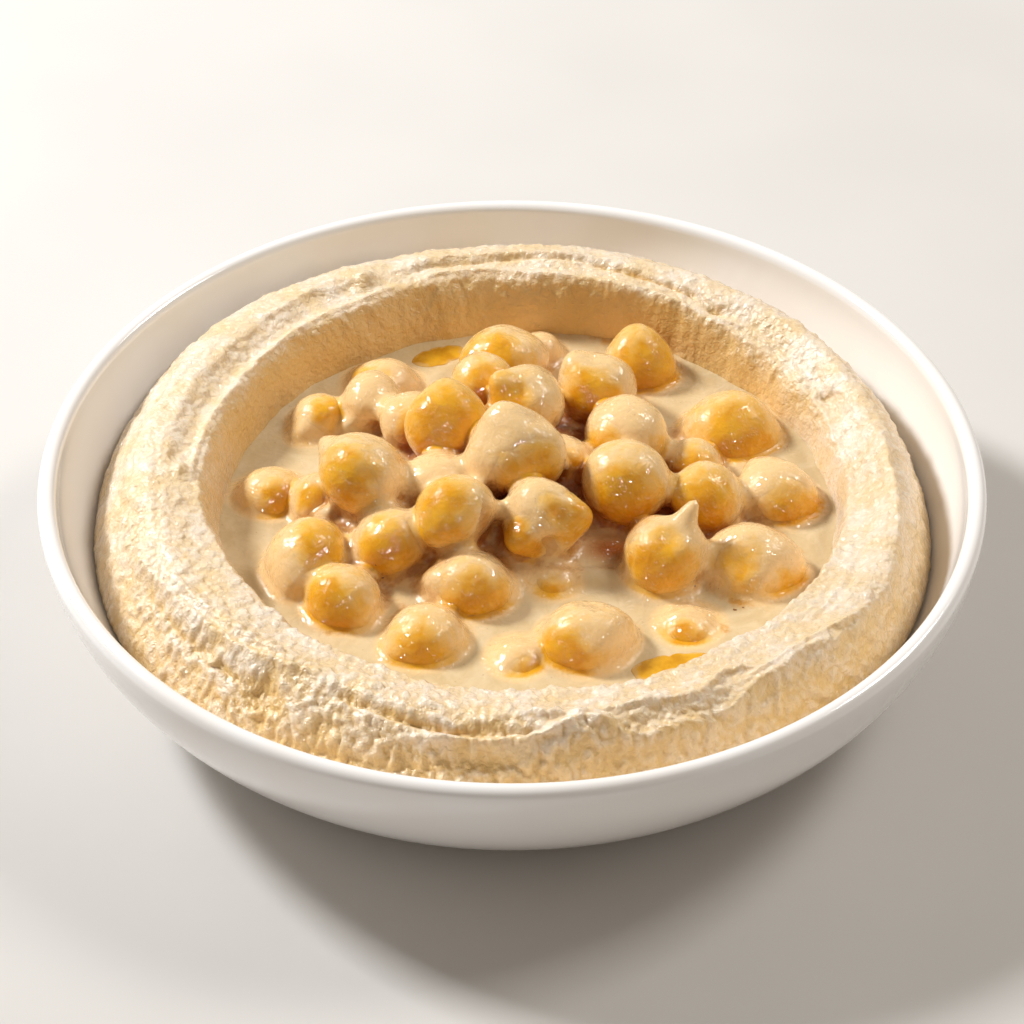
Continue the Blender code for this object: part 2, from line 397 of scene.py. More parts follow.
class Wiring:
    """Builds the nodes of one Principled material, one short call for each node."""

    def __init__(self, name: str) -> None:
        """Start a material with its shader and object coordinates.

        Args:
            name: Name of the material.
        """
        self.material = bpy.data.materials.new(name)
        self.material.use_nodes = True
        self.tree = self.material.node_tree
        self.shader = self.tree.nodes["Principled BSDF"]
        self.place = self.tree.nodes.new("ShaderNodeTexCoord").outputs["Object"]

    def link(self, source: Value, target: Socket) -> None:
        """Join an output to an input, or set the input to a plain value.

        Args:
            source: The output, colour or number.
            target: The input.
        """
        if isinstance(source, Socket):
            self.tree.links.new(source, target)
        elif isinstance(source, tuple) and target.type == "RGBA":
            target.default_value = (*source, 1.0)
        else:
            target.default_value = source

    def fixed(self, **values: float) -> None:
        """Set plain values on the shader, with underscores for spaces in their names."""
        for name, value in values.items():
            self.shader.inputs[name.replace("_", " ")].default_value = value

    def add(self, kind: str, settings: dict[str, str], **inputs: Value) -> bpy.types.Node:
        """Add a node.

        Args:
            kind: Blender's name of the node's type.
            settings: Values of the node's properties.
            **inputs: What the inputs get, with underscores for spaces in their names.

        Returns:
            The node.
        """
        node = self.tree.nodes.new(kind)
        for name, value in settings.items():
            setattr(node, name, value)
        for name, source in inputs.items():
            self.link(source, node.inputs[name.replace("_", " ")])
        return node

    def lumps(
        self, size: float, detail: float = 2.0, rough: float = 0.5, bend: float = 0.0
    ) -> Socket:
        """Make lumpy noise that stays put on the object.

        Args:
            size: Size of the lumps in millimetres.
            detail: Number of finer layers.
            rough: Strength of each finer layer.
            bend: How much the lumps are dragged out of shape.

        Returns:
            The noise, from 0 to 1.
        """
        scale = 1.0 / (size * MM)
        node = self.add("ShaderNodeTexNoise", {}, Vector=self.place, Scale=scale)
        self.link(detail, node.inputs["Detail"])
        self.link(rough, node.inputs["Roughness"])
        self.link(bend, node.inputs["Distortion"])
        return node.outputs["Fac"]

    def painted(self, layer: Layer) -> Socket:
        """Return the number painted on the mesh."""
        return self.add("ShaderNodeAttribute", {"attribute_name": layer.value}).outputs["Fac"]

    def ramp(
        self, value: Value, low: float, high: float, start: float = 0.0, end: float = 1.0
    ) -> Socket:
        """Make a smooth step of a value.

        Args:
            value: The value.
            low: Where the step starts.
            high: Where the step ends.
            start: The result up to low.
            end: The result from high on.

        Returns:
            The result.
        """
        ends = {"From_Min": low, "From_Max": high, "To_Min": start, "To_Max": end}
        smooth = {"interpolation_type": "SMOOTHSTEP"}
        return self.add("ShaderNodeMapRange", smooth, Value=value, **ends).outputs["Result"]

    def sum(self, operation: Maths, first: Value, second: Value) -> Socket:
        """Do a sum with two values.

        Args:
            operation: The kind of sum.
            first: The first value.
            second: The second value.

        Returns:
            The result.
        """
        node = self.add("ShaderNodeMath", {"operation": operation.value})
        self.link(first, node.inputs[0])
        self.link(second, node.inputs[1])
        return node.outputs[0]

    def mix(self, share: Value, first: Value, second: Value) -> Socket:
        """Return the mix of two colours, where share is the part of the second."""
        node = self.add("ShaderNodeMix", {"data_type": "RGBA"}, Factor=share, A=first, B=second)
        return node.outputs["Result"]

    def bump(
        self, height: Value, depth: float, strength: float = 1.0, under: Socket | None = None
    ) -> Socket:
        """Bend the surface's normal by a height.

        Args:
            height: The height, from 0 to 1.
            depth: What a height of 1 stands for, in millimetres.
            strength: Share of the bend that is used.
            under: A normal that is bent already, or None.

        Returns:
            The bent normal.
        """
        distance = depth * MM
        node = self.add("ShaderNodeBump", {}, Strength=strength, Distance=distance, Height=height)
        if under is not None:
            self.link(under, node.inputs["Normal"])
        return node.outputs["Normal"]

    def finish(self, colour: Value, roughness: Value, normal: Socket | None) -> Material:
        """Join the shader's main inputs.

        Args:
            colour: The surface's colour.
            roughness: Its roughness.
            normal: Its normal, or None for the mesh's own.

        Returns:
            The finished material.
        """
        self.link(colour, self.shader.inputs["Base Color"])
        self.link(roughness, self.shader.inputs["Roughness"])
        if normal is not None:
            self.link(normal, self.shader.inputs["Normal"])
        return self.material

    def wet(self, normal: Socket, weight: float, roughness: float) -> None:
        """Lay a wet layer over the surface, whose own normal breaks up the glints."""
        self.fixed(Coat_Weight=weight, Coat_Roughness=roughness)
        self.link(normal, self.shader.inputs["Coat Normal"])

    def glow(self, weight: float, depth: float, reach: Colour) -> None:
        """Let light soak in to a depth in millimetres, and reach it by colour."""
        self.fixed(Subsurface_Weight=weight, Subsurface_Scale=depth * MM)
        self.shader.inputs["Subsurface Radius"].default_value = reach


@dataclass(frozen=True)
class GlazeFinish:
    """Warm white glaze over porcelain: glossy, faintly uneven."""

    colour: Colour = linear(249, 247, 245)
    deeper: Colour = linear(247, 243, 239)

    def build(self) -> Material:
        """Wire the material.

        Returns:
            The material.
        """
        wiring = Wiring("warm_white_glaze")
        shade = wiring.ramp(wiring.lumps(28.0, 2.0), 0.35, 0.65)
        colour = wiring.mix(shade, self.colour, self.deeper)
        rough = wiring.ramp(wiring.lumps(9.0, 3.0), 0.3, 0.7, 0.10, 0.17)
        ripple = wiring.bump(wiring.lumps(11.0, 1.0), 0.05, 0.5)
        wiring.fixed(Coat_Weight=0.35, Coat_Roughness=0.06, IOR=1.5)
        return wiring.finish(colour, rough, ripple)


@dataclass(frozen=True)
class HummusFinish:
    """Moist paste of ground chickpeas: creamy, grainy, with small wet glints."""

    pale: Colour = linear(242, 226, 205)
    warm: Colour = linear(236, 210, 168)
    # deep is the colour of the painted shade.
    deep: Colour = linear(226, 184, 106)

    def build(self) -> Material:
        """Wire the material.

        Returns:
            The material.
        """
        wiring = Wiring("hummus_paste")
        clouds = wiring.ramp(wiring.lumps(7.0, 2.0, 0.6), 0.35, 0.68)
        specks = wiring.ramp(wiring.lumps(0.9, 1.0, 0.7), 0.52, 0.75)
        # The painted layer read here is shade painted into the paste, and it mixes in the deep
        # colour.
        hollow = wiring.painted(Layer.HOLLOW)
        colour = wiring.mix(clouds, self.pale, self.warm)
        colour = wiring.mix(wiring.sum(Maths.TIMES, specks, 0.45), colour, self.warm)
        colour = wiring.mix(wiring.sum(Maths.TIMES, hollow, 0.85), colour, self.deep)
        rough = wiring.ramp(wiring.lumps(1.1, 1.0, 0.65), 0.38, 0.62, 0.32, 0.46)
        coarse = wiring.bump(wiring.lumps(1.1, 2.0, 0.55, 0.4), 0.42, 0.9)
        fine = wiring.bump(wiring.lumps(0.5, 2.0, 0.6, 0.3), 0.10, 0.8, coarse)
        wiring.fixed(IOR=1.45)
        wiring.wet(wiring.bump(wiring.lumps(0.6, 2.0, 0.6), 0.40, 1.0, coarse), 0.8, 0.14)
        wiring.glow(0.25, 0.9, (1.0, 0.74, 0.46))
        return wiring.finish(colour, rough, fine)


@dataclass(frozen=True)
class CoatColour:
    """Colours from a bare chickpea, through a thin milky coat, to deep sauce, and colours of
    painted shade for the gaps of the heap.
    """

    amber: Colour = linear(226, 155, 4)
    gold: Colour = linear(238, 177, 34)
    veil: Colour = linear(240, 190, 98)
    cream: Colour = linear(243, 206, 149)
    pool: Colour = linear(214, 188, 142)
    milky: Colour = linear(226, 203, 162)
    # The last three are colours of painted shade for the gaps of the heap; brown also colours small
    # specks of grit in the sauce.
    deep: Colour = linear(198, 116, 10)
    heap_shade_colour: Colour = linear(186, 126, 56)
    brown: Colour = linear(152, 72, 6)

    def over_pea(self, wiring: Wiring, shaded: Colour) -> Socket:
        """Return the colour of a pea under the coat whose cover is painted as cream, with painted
        shade in the gaps of the heap.

        Args:
            wiring: The wiring of the material.
            shaded: The colour of painted shade that it turns to where the heap hides the sky.

        Returns:
            The colour.
        """
        cloud = wiring.ramp(wiring.lumps(5.0, 3.0, 0.55), 0.35, 0.66)
        bare = wiring.mix(cloud, self.amber, self.gold)
        streaks = wiring.ramp(wiring.lumps(2.2, 3.0, 0.5, 0.4), 0.3, 0.7, -0.12, 0.12)
        cover = wiring.sum(Maths.ADD, wiring.painted(Layer.CREAM), streaks)
        colour = wiring.mix(wiring.ramp(cover, 0.10, 0.50), bare, self.veil)
        colour = wiring.mix(wiring.ramp(cover, 0.42, 0.84), colour, self.cream)
        # Painted shade: darker where the heap hides the sky, brown in the deepest gaps.
        gap = wiring.painted(Layer.CREVICE)
        colour = wiring.mix(wiring.ramp(gap, 0.05, 0.65, 0.0, 0.8), colour, shaded)
        return wiring.mix(wiring.ramp(gap, 0.5, 1.0, 0.0, 0.85), colour, self.brown)

    def glints(self, wiring: Wiring, share: Socket | None, under: Socket) -> Socket:
        """Return the normal of the wet film, whose fine bumps break a highlight into glints.

        Args:
            wiring: The wiring of the material.
            share: Where the bumps stand, from 0 to 1, or None for everywhere.
            under: The normal of the surface below the film.

        Returns:
            The film's normal.
        """
        patch = wiring.ramp(wiring.lumps(3.0, 1.0), 0.36, 0.60, 0.3, 1.0)
        if share is not None:
            patch = wiring.sum(Maths.TIMES, patch, share)
        dots = wiring.ramp(wiring.lumps(0.8, 1.0), 0.46, 0.66)
        ripple = wiring.sum(Maths.TIMES, wiring.lumps(1.5, 2.0), patch)
        rippled = wiring.bump(ripple, 0.45, 1.0, under)
        return wiring.bump(wiring.sum(Maths.TIMES, dots, patch), 0.75, 1.0, rippled)


@dataclass(frozen=True)
class SauceFinish:
    """Tahini sauce: smooth, wet, opaque where deep and milky where it coats a pea, with painted
    shade in the gaps of the heap.
    """

    colours: CoatColour = CoatColour()
    oil: Colour = linear(208, 146, 44)

    def build(self) -> Material:
        """Wire the material.

        Returns:
            The material.
        """
        wiring = Wiring("tahini_sauce")
        streak = wiring.ramp(wiring.lumps(6.0, 3.0, 0.55, 0.8), 0.35, 0.7)
        deep = wiring.mix(streak, self.colours.pool, self.colours.milky)
        # Painted shade in the gaps of the heap, on the deep sauce and on the coats.
        gap = wiring.ramp(wiring.painted(Layer.CREVICE), 0.20, 0.90, 0.0, 0.60)
        deep = wiring.mix(gap, deep, self.colours.heap_shade_colour)
        coated = self.colours.over_pea(wiring, self.colours.heap_shade_colour)
        colour = wiring.mix(wiring.painted(Layer.POOL), coated, deep)
        grit = wiring.ramp(wiring.lumps(0.8, 2.0), 0.70, 0.76)
        colour = wiring.mix(wiring.sum(Maths.TIMES, grit, 0.30), colour, self.colours.brown)
        broken = wiring.ramp(wiring.lumps(1.2, 2.0), 0.3, 0.7, -0.2, 0.2)
        slick = wiring.sum(Maths.ADD, wiring.painted(Layer.OIL), broken)
        colour = wiring.mix(wiring.ramp(slick, 0.15, 0.85, 0.0, 0.85), colour, self.oil)
        rough = wiring.ramp(wiring.lumps(2.0, 2.0), 0.3, 0.7, 0.22, 0.32)
        soft = wiring.bump(wiring.lumps(2.2, 2.0, 0.55, 0.6), 0.50, 0.35)
        thin = wiring.ramp(wiring.painted(Layer.POOL), 0.0, 0.6, 1.0, 0.0)
        wiring.fixed(IOR=1.28)
        wiring.wet(self.colours.glints(wiring, thin, soft), 1.0, 0.05)
        return wiring.finish(colour, rough, soft)


@dataclass(frozen=True)
class ChickpeaFinish:
    """Wet skin of a cooked chickpea, amber to gold, veiled with sauce where it clings, with painted
    shade in the gaps of the heap.
    """

    colours: CoatColour = CoatColour()

    def build(self) -> Material:
        """Wire the material.

        Returns:
            The material.
        """
        wiring = Wiring("chickpea_skin")
        # The deep colour is the painted shade in the heap's gaps.
        colour = self.colours.over_pea(wiring, self.colours.deep)
        rough = wiring.ramp(wiring.lumps(1.5, 3.0), 0.3, 0.7, 0.24, 0.36)
        dents = wiring.bump(wiring.lumps(2.2, 2.0, 0.55, 0.6), 0.50, 0.40)
        wiring.fixed(IOR=1.28)
        wiring.wet(self.colours.glints(wiring, None, dents), 1.0, 0.05)
        wiring.glow(0.20, 1.0, (1.0, 0.66, 0.30))
        return wiring.finish(colour, rough, dents)


@dataclass(frozen=True)
class OilFinish:
    """Golden oil that lies in a thin film on the sauce."""

    gold: Colour = linear(230, 172, 36)
    deep: Colour = linear(204, 142, 12)
    rim: Colour = linear(220, 178, 104)

    def build(self) -> Material:
        """Wire the material.

        Returns:
            The material.
        """
        wiring = Wiring("golden_oil")
        shade = wiring.ramp(wiring.lumps(2.6, 3.0), 0.35, 0.68)
        colour = wiring.mix(shade, self.gold, self.deep)
        uneven = wiring.ramp(wiring.lumps(1.5, 2.0), 0.3, 0.7, -0.12, 0.12)
        rim = wiring.sum(Maths.ADD, wiring.painted(Layer.EDGE), uneven)
        colour = wiring.mix(wiring.ramp(rim, 0.80, 1.0, 0.0, 0.8), colour, self.rim)
        rough = wiring.ramp(wiring.lumps(3.0, 2.0), 0.3, 0.7, 0.04, 0.09)
        ripple = wiring.bump(wiring.lumps(2.0, 1.0), 0.05, 0.4)
        wiring.fixed(IOR=1.47, Coat_Weight=0.6, Coat_Roughness=0.03)
        return wiring.finish(colour, rough, ripple)


@dataclass(frozen=True)
class PeelFinish:
    """Brown, dry bits of chickpea peel."""

    brown: Colour = linear(160, 104, 48)
    dark: Colour = linear(122, 72, 26)

    def build(self) -> Material:
        """Wire the material.

        Returns:
            The material.
        """
        wiring = Wiring("brown_peel")
        colour = wiring.mix(wiring.ramp(wiring.lumps(0.4, 2.0), 0.4, 0.6), self.brown, self.dark)
        return wiring.finish(colour, 0.45, wiring.bump(wiring.lumps(0.2, 2.0), 0.05, 0.5))


@dataclass(frozen=True)
class FloorFinish:
    """Plain pale table top."""

    colour: Colour = linear(214, 211, 207)
    darker: Colour = linear(210, 207, 203)

    def build(self) -> Material:
        """Wire the material.

        Returns:
            The material.
        """
        wiring = Wiring("pale_floor")
        shade = wiring.ramp(wiring.lumps(60.0, 2.0), 0.3, 0.7)
        colour = wiring.mix(shade, self.colour, self.darker)
        return wiring.finish(colour, 0.8, None)


# ---------------------------------------------------------------------- plate


@dataclass
class Plate:
    """The round plate: a turned wall with a rounded lip on a foot ring."""

    height: float = 30.0
    radius: float = 75.0
    lip: float = 3.0
    floor: float = 5.0
    foot_outer: float = 45.0
    foot_inner: float = 42.0
    recess: float = 1.6
    floor_radius: float = 54.0
    inner_bend: tuple[float, float] = (64.0, 10.5)
    inner_upright: float = 21.0
    outer_upright: float = 20.5
    outer_bend: tuple[float, float] = (67.4, 7.5)
    belly: tuple[float, float] = (57.0, 2.4)
    wall_steps: int = 22
    lip_steps: int = 12
    round_steps: int = 192

    def wall(self, knots: Sequence[tuple[float, float]]) -> list[tuple[float, float]]:
        """Return points (radius, height) along the Bezier curve through four knots."""
        points = [Vector((r, 0.0, z)) for r, z in knots]
        return [(p.x, p.z) for p in interpolate_bezier(*points, self.wall_steps)]

    def inside(self) -> list[tuple[float, float]]:
        """Draw the inner wall, from the flat floor up to the lip.

        Returns:
            Points (radius, height) in millimetres.
        """
        top = self.height - self.lip / 2
        inner = self.radius - self.lip
        foot = (self.floor_radius, self.floor)
        return self.wall((foot, self.inner_bend, (inner, self.inner_upright), (inner, top)))

    def outside(self) -> list[tuple[float, float]]:
        """Return the outer wall, from the lip down to the belly."""
        top, upright = (self.radius, self.height - self.lip / 2), (self.radius, self.outer_upright)
        return self.wall((top, upright, self.outer_bend, self.belly))

    def section(self) -> list[tuple[float, float]]:
        """Draw the whole section, from the floor's middle over the lip to the underside.

        Returns:
            Points (radius, height) in millimetres.
        """
        middle = self.radius - self.lip / 2
        top = self.height - self.lip / 2
        turns = [math.pi * (1.0 - k / self.lip_steps) for k in range(1, self.lip_steps)]
        half = self.lip / 2
        lip = [(middle + math.cos(a) * half, top + math.sin(a) * half) for a in turns]
        foot = [
            (self.foot_outer + 1.6, self.recess + 0.4),
            (self.foot_outer + 0.5, self.recess - 0.1),
            (self.foot_outer, 0.5),
            (self.foot_outer - 0.4, 0.1),
            (self.foot_outer - 0.9, 0.0),
            (self.foot_inner + 0.9, 0.0),
            (self.foot_inner + 0.4, 0.1),
            (self.foot_inner, 0.5),
            (self.foot_inner - 0.4, self.recess - 0.2),
            (self.foot_inner - 1.2, self.recess),
            (20.0, self.recess),
            (0.0, self.recess),
        ]
        floor = [(0.0, self.floor), (20.0, self.floor), (40.0, self.floor), (50.0, self.floor)]
        return floor + self.inside() + lip + self.outside() + foot

    def build(self) -> Item:
        """Turn the plate and give it its glaze.

        Returns:
            The finished plate.
        """
        plate = turned("plate_glazed", self.section(), self.round_steps)
        finished(plate, GlazeFinish().build(), ("plate",))
        return plate

    def wall_radius(self, height: np.ndarray) -> np.ndarray:
        """Return the inner wall's radius at heights in millimetres."""
        radii, heights = zip(*self.inside())
        return np.interp(height, heights, radii)


# --------------------------------------------------------------------- hummus


@dataclass(frozen=True)
class Stroke:
    """A ridge or furrow that a spoon left along the ring.

    Angles are in degrees from +X. Across runs from 0 at the pool to 1 at the outer edge.
    Height is in millimetres, below 0 for a furrow. Inner and outer are the widths of its
    two flanks, as shares of the ring, and taper is the length of each end in degrees.
    """

    angles: tuple[float, ...]
    across: tuple[float, ...]
    height: float
    inner: float
    outer: float
    taper: float = 5.0

    def rise(self, angle: np.ndarray, across: np.ndarray) -> np.ndarray:
        """Find the stroke's height over the ring.

        Args:
            angle: Angles in radians, anticlockwise from +X.
            across: Places across the ring, from 0 at the pool to 1 at the outer edge.

        Returns:
            The height in millimetres at each place.
        """
        start, end = self.angles[0], self.angles[-1]
        turn = np.mod(np.degrees(angle) - start, 360.0)
        length = end - start
        steps = np.array(self.angles) - start
        line = np.interp(turn, steps, self.across)
        fade = ease(0.0, self.taper, turn) * (1.0 - ease(length - self.taper, length, turn))
        fade = np.where(turn > length, 0.0, fade)
        width = np.where(across < line, self.inner, self.outer)
        return self.height * fade * hill(across - line, width)


@dataclass(frozen=True)
class Dab:
    """A lump or dent in the ring, in millimetres: its place, height and two radii."""

    x: float
    y: float
    height: float
    along: float
    across: float
    turn: float = 0.0

    def rise(self, points: np.ndarray) -> np.ndarray:
        """Find the dab's height.

        Args:
            points: Places in millimetres, one row each.

        Returns:
            The height in millimetres at each place.
        """
        angle = math.radians(self.turn)
        east, north = points[:, 0] - self.x, points[:, 1] - self.y
        length = (east * math.cos(angle) + north * math.sin(angle)) / self.along
        width = (north * math.cos(angle) - east * math.sin(angle)) / self.across
        return self.height * np.exp(-(length**2) - width**2)


@dataclass(frozen=True)
class Grain:
    """A layer of lumps: their size, their finer layers, their seed and their height."""

    size: float
    octaves: int
    seed: float
    height: float

    def rise(self, points: np.ndarray) -> np.ndarray:
        """Return the layer's height in millimetres at points in millimetres."""
        return grain(points, self.size, self.octaves, self.seed) * self.height

    def pile(self, points: np.ndarray, sunk: float) -> np.ndarray:
        """Return the height of round curds between sharp creases, sunk by a distance."""
        return np.abs(grain(points, self.size, self.octaves, self.seed)) * self.height - sunk


@dataclass(frozen=True)
class RingPlan:
    """Where each vertex of the turned ring stands.

    Angle is in radians and radius in millimetres. Across runs from 0 at the pool to 1 at
    the outer edge. On ring marks the ring's top, and in well the floor of the hollow.
    """

    angle: np.ndarray
    radius: np.ndarray
    across: np.ndarray
    on_ring: np.ndarray
    in_well: np.ndarray

    def top(self) -> "RingPlan":
        """Return the plan of the vertices on the ring's top."""
        return RingPlan(*(getattr(self, part.name)[self.on_ring] for part in fields(self)))


@dataclass
class HummusRing:
    """The swirled ring of hummus, with the hollow that holds the sauce.

    The tables give a value every 15 degrees from +X, anticlockwise. Well is the hollow's
    section, as radii and heights over its floor. Under gap is how far the underside stays
    off the plate, inwards and upwards, and play is the room between the ring's edge and
    the wall. Unshaped is the height at which the ring's top waits for its form.
    """

    plate: Plate
    pool_level: float = POOL_LEVEL
    well_radius: float = 49.4
    well_shift: tuple[float, float] = (2.6, 1.0)
    floor: float = 7.5
    well: tuple[tuple[float, float], ...] = (
        (0.0, 0.0), (30.0, 0.0), (44.0, 0.0), (46.5, 3.0), (48.4, 7.5),
    )
    mean_edge: float = 18.0
    under_top: float = 16.0
    under_gap: tuple[float, float] = (0.35, 0.3)
    play: float = 0.4
    unshaped: float = 40.0
    round_steps: int = 1120
    ring_steps: int = 64
    waves: tuple[Grain, Grain] = (Grain(14.0, 2, 6.0, 0.8), Grain(3.5, 2, 7.0, 0.25))
    lumps: Grain = Grain(9.0, 2, 1.0, 0.40)
    pits: Grain = Grain(2.4, 2, 2.0, 0.50)
    grit: Grain = Grain(1.3, 1, 3.0, 0.34)
    smears: Grain = Grain(1.0, 2, 5.0, 0.16)
    smear_along: float = 7.0
    smear_across: float = 1.3
    billows: Grain = Grain(3.0, 3, 4.0, 0.30)
    # Shares of painted shade in the paste's colour: on faces turned from the window, in furrows, on
    # the front flank and in creases between curds.
    turned_away_shade: float = 0.30
    furrow_shade: float = 0.65
    flank_shade: float = 0.36
    crease_shade: float = 0.45
    crest_rise: tuple[float, ...] = (
        10.6, 10.6, 10.8, 11.2, 11.4, 11.6, 11.4, 11.0, 10.9, 10.8, 10.6, 10.4,
        10.3, 10.2, 10.2, 10.4, 10.6, 10.8, 10.9, 10.9, 10.8, 10.8, 10.7, 10.6,
    )
    crest_place: tuple[float, ...] = (
        0.52, 0.54, 0.56, 0.56, 0.55, 0.55, 0.55, 0.54, 0.56, 0.58, 0.57, 0.54,
        0.52, 0.48, 0.46, 0.42, 0.40, 0.40, 0.46, 0.50, 0.54, 0.62, 0.62, 0.56,
    )
    brink_place: tuple[float, ...] = (
        0.15, 0.17, 0.23, 0.23, 0.13, 0.14, 0.22, 0.31, 0.22, 0.19, 0.17, 0.17,
        0.16, 0.14, 0.12, 0.12, 0.12, 0.12, 0.12, 0.12, 0.11, 0.11, 0.12, 0.13,
    )
    brink_share: tuple[float, ...] = (
        0.64, 0.64, 0.68, 0.76, 0.86, 0.90, 0.92, 0.92, 0.88, 0.86, 0.86, 0.86,
        0.88, 0.90, 0.91, 0.90, 0.88, 0.86, 0.86, 0.88, 0.90, 0.90, 0.86, 0.74,
    )
    edge_height: tuple[float, ...] = (
        17.4, 17.4, 17.6, 18.0, 18.4, 18.8, 19.0, 19.6, 20.4, 20.6, 19.8, 18.4,
        17.4, 17.0, 17.0, 17.2, 17.4, 17.6, 17.6, 17.6, 17.6, 17.6, 17.6, 17.4,
    )
    fall_power: tuple[float, ...] = (
        0.85, 0.80, 0.75, 0.75, 0.75, 0.70, 0.70, 0.70, 0.70, 0.75, 0.80, 0.85,
        0.90, 1.00, 1.05, 1.10, 1.10, 1.10, 1.10, 1.00, 0.90, 0.85, 0.85, 0.85,
    )
    strokes: tuple[Stroke, ...] = (
        Stroke((76, 84, 90, 98, 106, 112), (0.43, 0.43, 0.42, 0.40, 0.43, 0.38), -0.6, 0.025, 0.03),
        Stroke((72, 84, 95, 104, 112), (0.49, 0.50, 0.48, 0.51, 0.47), 0.3, 0.03, 0.03),
        Stroke((54, 60, 66, 72), (0.30, 0.33, 0.345, 0.33), -0.9, 0.03, 0.03),
        Stroke((48, 51, 54, 57), (0.32, 0.29, 0.28, 0.33), -1.2, 0.04, 0.03),
        Stroke((66, 70, 74, 80), (0.36, 0.36, 0.38, 0.42), -0.9, 0.035, 0.03),
        Stroke(
            (116, 124, 135, 150, 165, 180), (0.41, 0.37, 0.33, 0.31, 0.30, 0.29), -0.3, 0.06, 0.06
        ),
        Stroke(
            (114, 122, 135, 150, 165, 182), (0.47, 0.51, 0.49, 0.46, 0.45, 0.42), 0.45, 0.04, 0.06
        ),
        Stroke(
            (112, 120, 132, 145, 160, 176, 184), (0.26, 0.245, 0.23, 0.19, 0.19, 0.21, 0.19), 0.6,
            0.02, 0.04,
        ),
        Stroke((20, 30, 36, 40, 46, 54), (0.24, 0.25, 0.26, 0.28, 0.28, 0.22), 0.45, 0.02, 0.05),
        Stroke(
            (54, 66, 78, 86, 94, 104, 110), (0.14, 0.15, 0.16, 0.20, 0.26, 0.32, 0.28), 0.5, 0.02,
            0.04,
        ),
        Stroke(
            (196, 204, 214, 224, 232, 240), (0.74, 0.66, 0.60, 0.56, 0.50, 0.46), 0.9, 0.035, 0.03
        ),
        Stroke((202, 214, 224, 234), (0.60, 0.50, 0.45, 0.40), 0.7, 0.05, 0.03),
        Stroke((200, 212, 224, 236), (0.74, 0.70, 0.68, 0.66), -0.8, 0.03, 0.05),
        Stroke((240, 248, 256, 264, 276), (0.52, 0.53, 0.58, 0.62, 0.62), -1.1, 0.035, 0.03),
        Stroke((232, 242, 252, 262, 272), (0.90, 0.84, 0.82, 0.76, 0.76), -0.8, 0.035, 0.035),
        Stroke(
            (254, 262, 270, 275, 279, 282, 284, 288, 296),
            (0.66, 0.68, 0.68, 0.63, 0.555, 0.64, 0.74, 0.78, 0.80), 1.15, 0.07, 0.036,
        ),
        Stroke(
            (286, 291, 297, 301, 306, 314), (0.74, 0.76, 0.775, 0.72, 0.67, 0.66), 0.9, 0.06, 0.032
        ),
        Stroke(
            (308, 314, 318, 323, 330, 338), (0.61, 0.63, 0.71, 0.76, 0.77, 0.76), 0.65, 0.05, 0.032
        ),
        Stroke(
            (302, 309, 315, 320, 325, 331), (0.58, 0.56, 0.56, 0.62, 0.69, 0.75), 0.65, 0.04, 0.032
        ),
        Stroke(
            (268, 278, 286, 292, 296, 299, 301, 304, 308),
            (0.45, 0.50, 0.48, 0.52, 0.53, 0.48, 0.42, 0.45, 0.54), 0.8, 0.06, 0.034,
        ),
        Stroke((282, 290, 298, 304), (0.62, 0.63, 0.63, 0.60), -0.3, 0.05, 0.05),
        Stroke((318, 326, 334, 342), (0.44, 0.43, 0.40, 0.36), -0.3, 0.03, 0.04),
        Stroke(
            (330, 340, 346, 352, 360, 370), (0.77, 0.73, 0.66, 0.60, 0.54, 0.56), 0.9, 0.08, 0.035
        ),
    )
    dabs: tuple[Dab, ...] = (
        Dab(11.0, -60.5, 1.6, 5.0, 1.8, 15.0),
        Dab(-25.5, 51.5, 1.6, 2.0, 1.4, 20.0),
        Dab(-52.8, 0.5, 1.5, 1.6, 1.4, 80.0),
        Dab(52.0, 22.3, -1.0, 1.2, 0.9, -60.0),
        Dab(-36.5, -49.0, -1.5, 3.5, 1.8, 140.0),
        Dab(-58.5, 20.0, -0.8, 1.6, 1.2, 100.0),
        Dab(-62.0, 20.5, -0.7, 2.2, 0.9, 100.0),
    )

    def section(self) -> list[tuple[float, float]]:
        """Draw the mean section, from the well's middle over the ring to the underside.

        Returns:
            Points (radius, height) in millimetres.
        """
        outer = float(self.plate.wall_radius(np.array(self.mean_edge))) - self.play
        steps = np.linspace(0.0, 1.0, self.ring_steps + 1)
        width = outer - self.well_radius
        ring = [(self.well_radius + width * step, self.unshaped) for step in steps]
        inwards, upwards = self.under_gap
        wall = [(r, z) for r, z in reversed(self.plate.inside()) if z < self.under_top]
        under = [(r - inwards, z + upwards) for r, z in wall[::3]]
        well = [(r, self.floor + z) for r, z in self.well]
        return well + ring + under + [(0.0, self.plate.floor + upwards)]

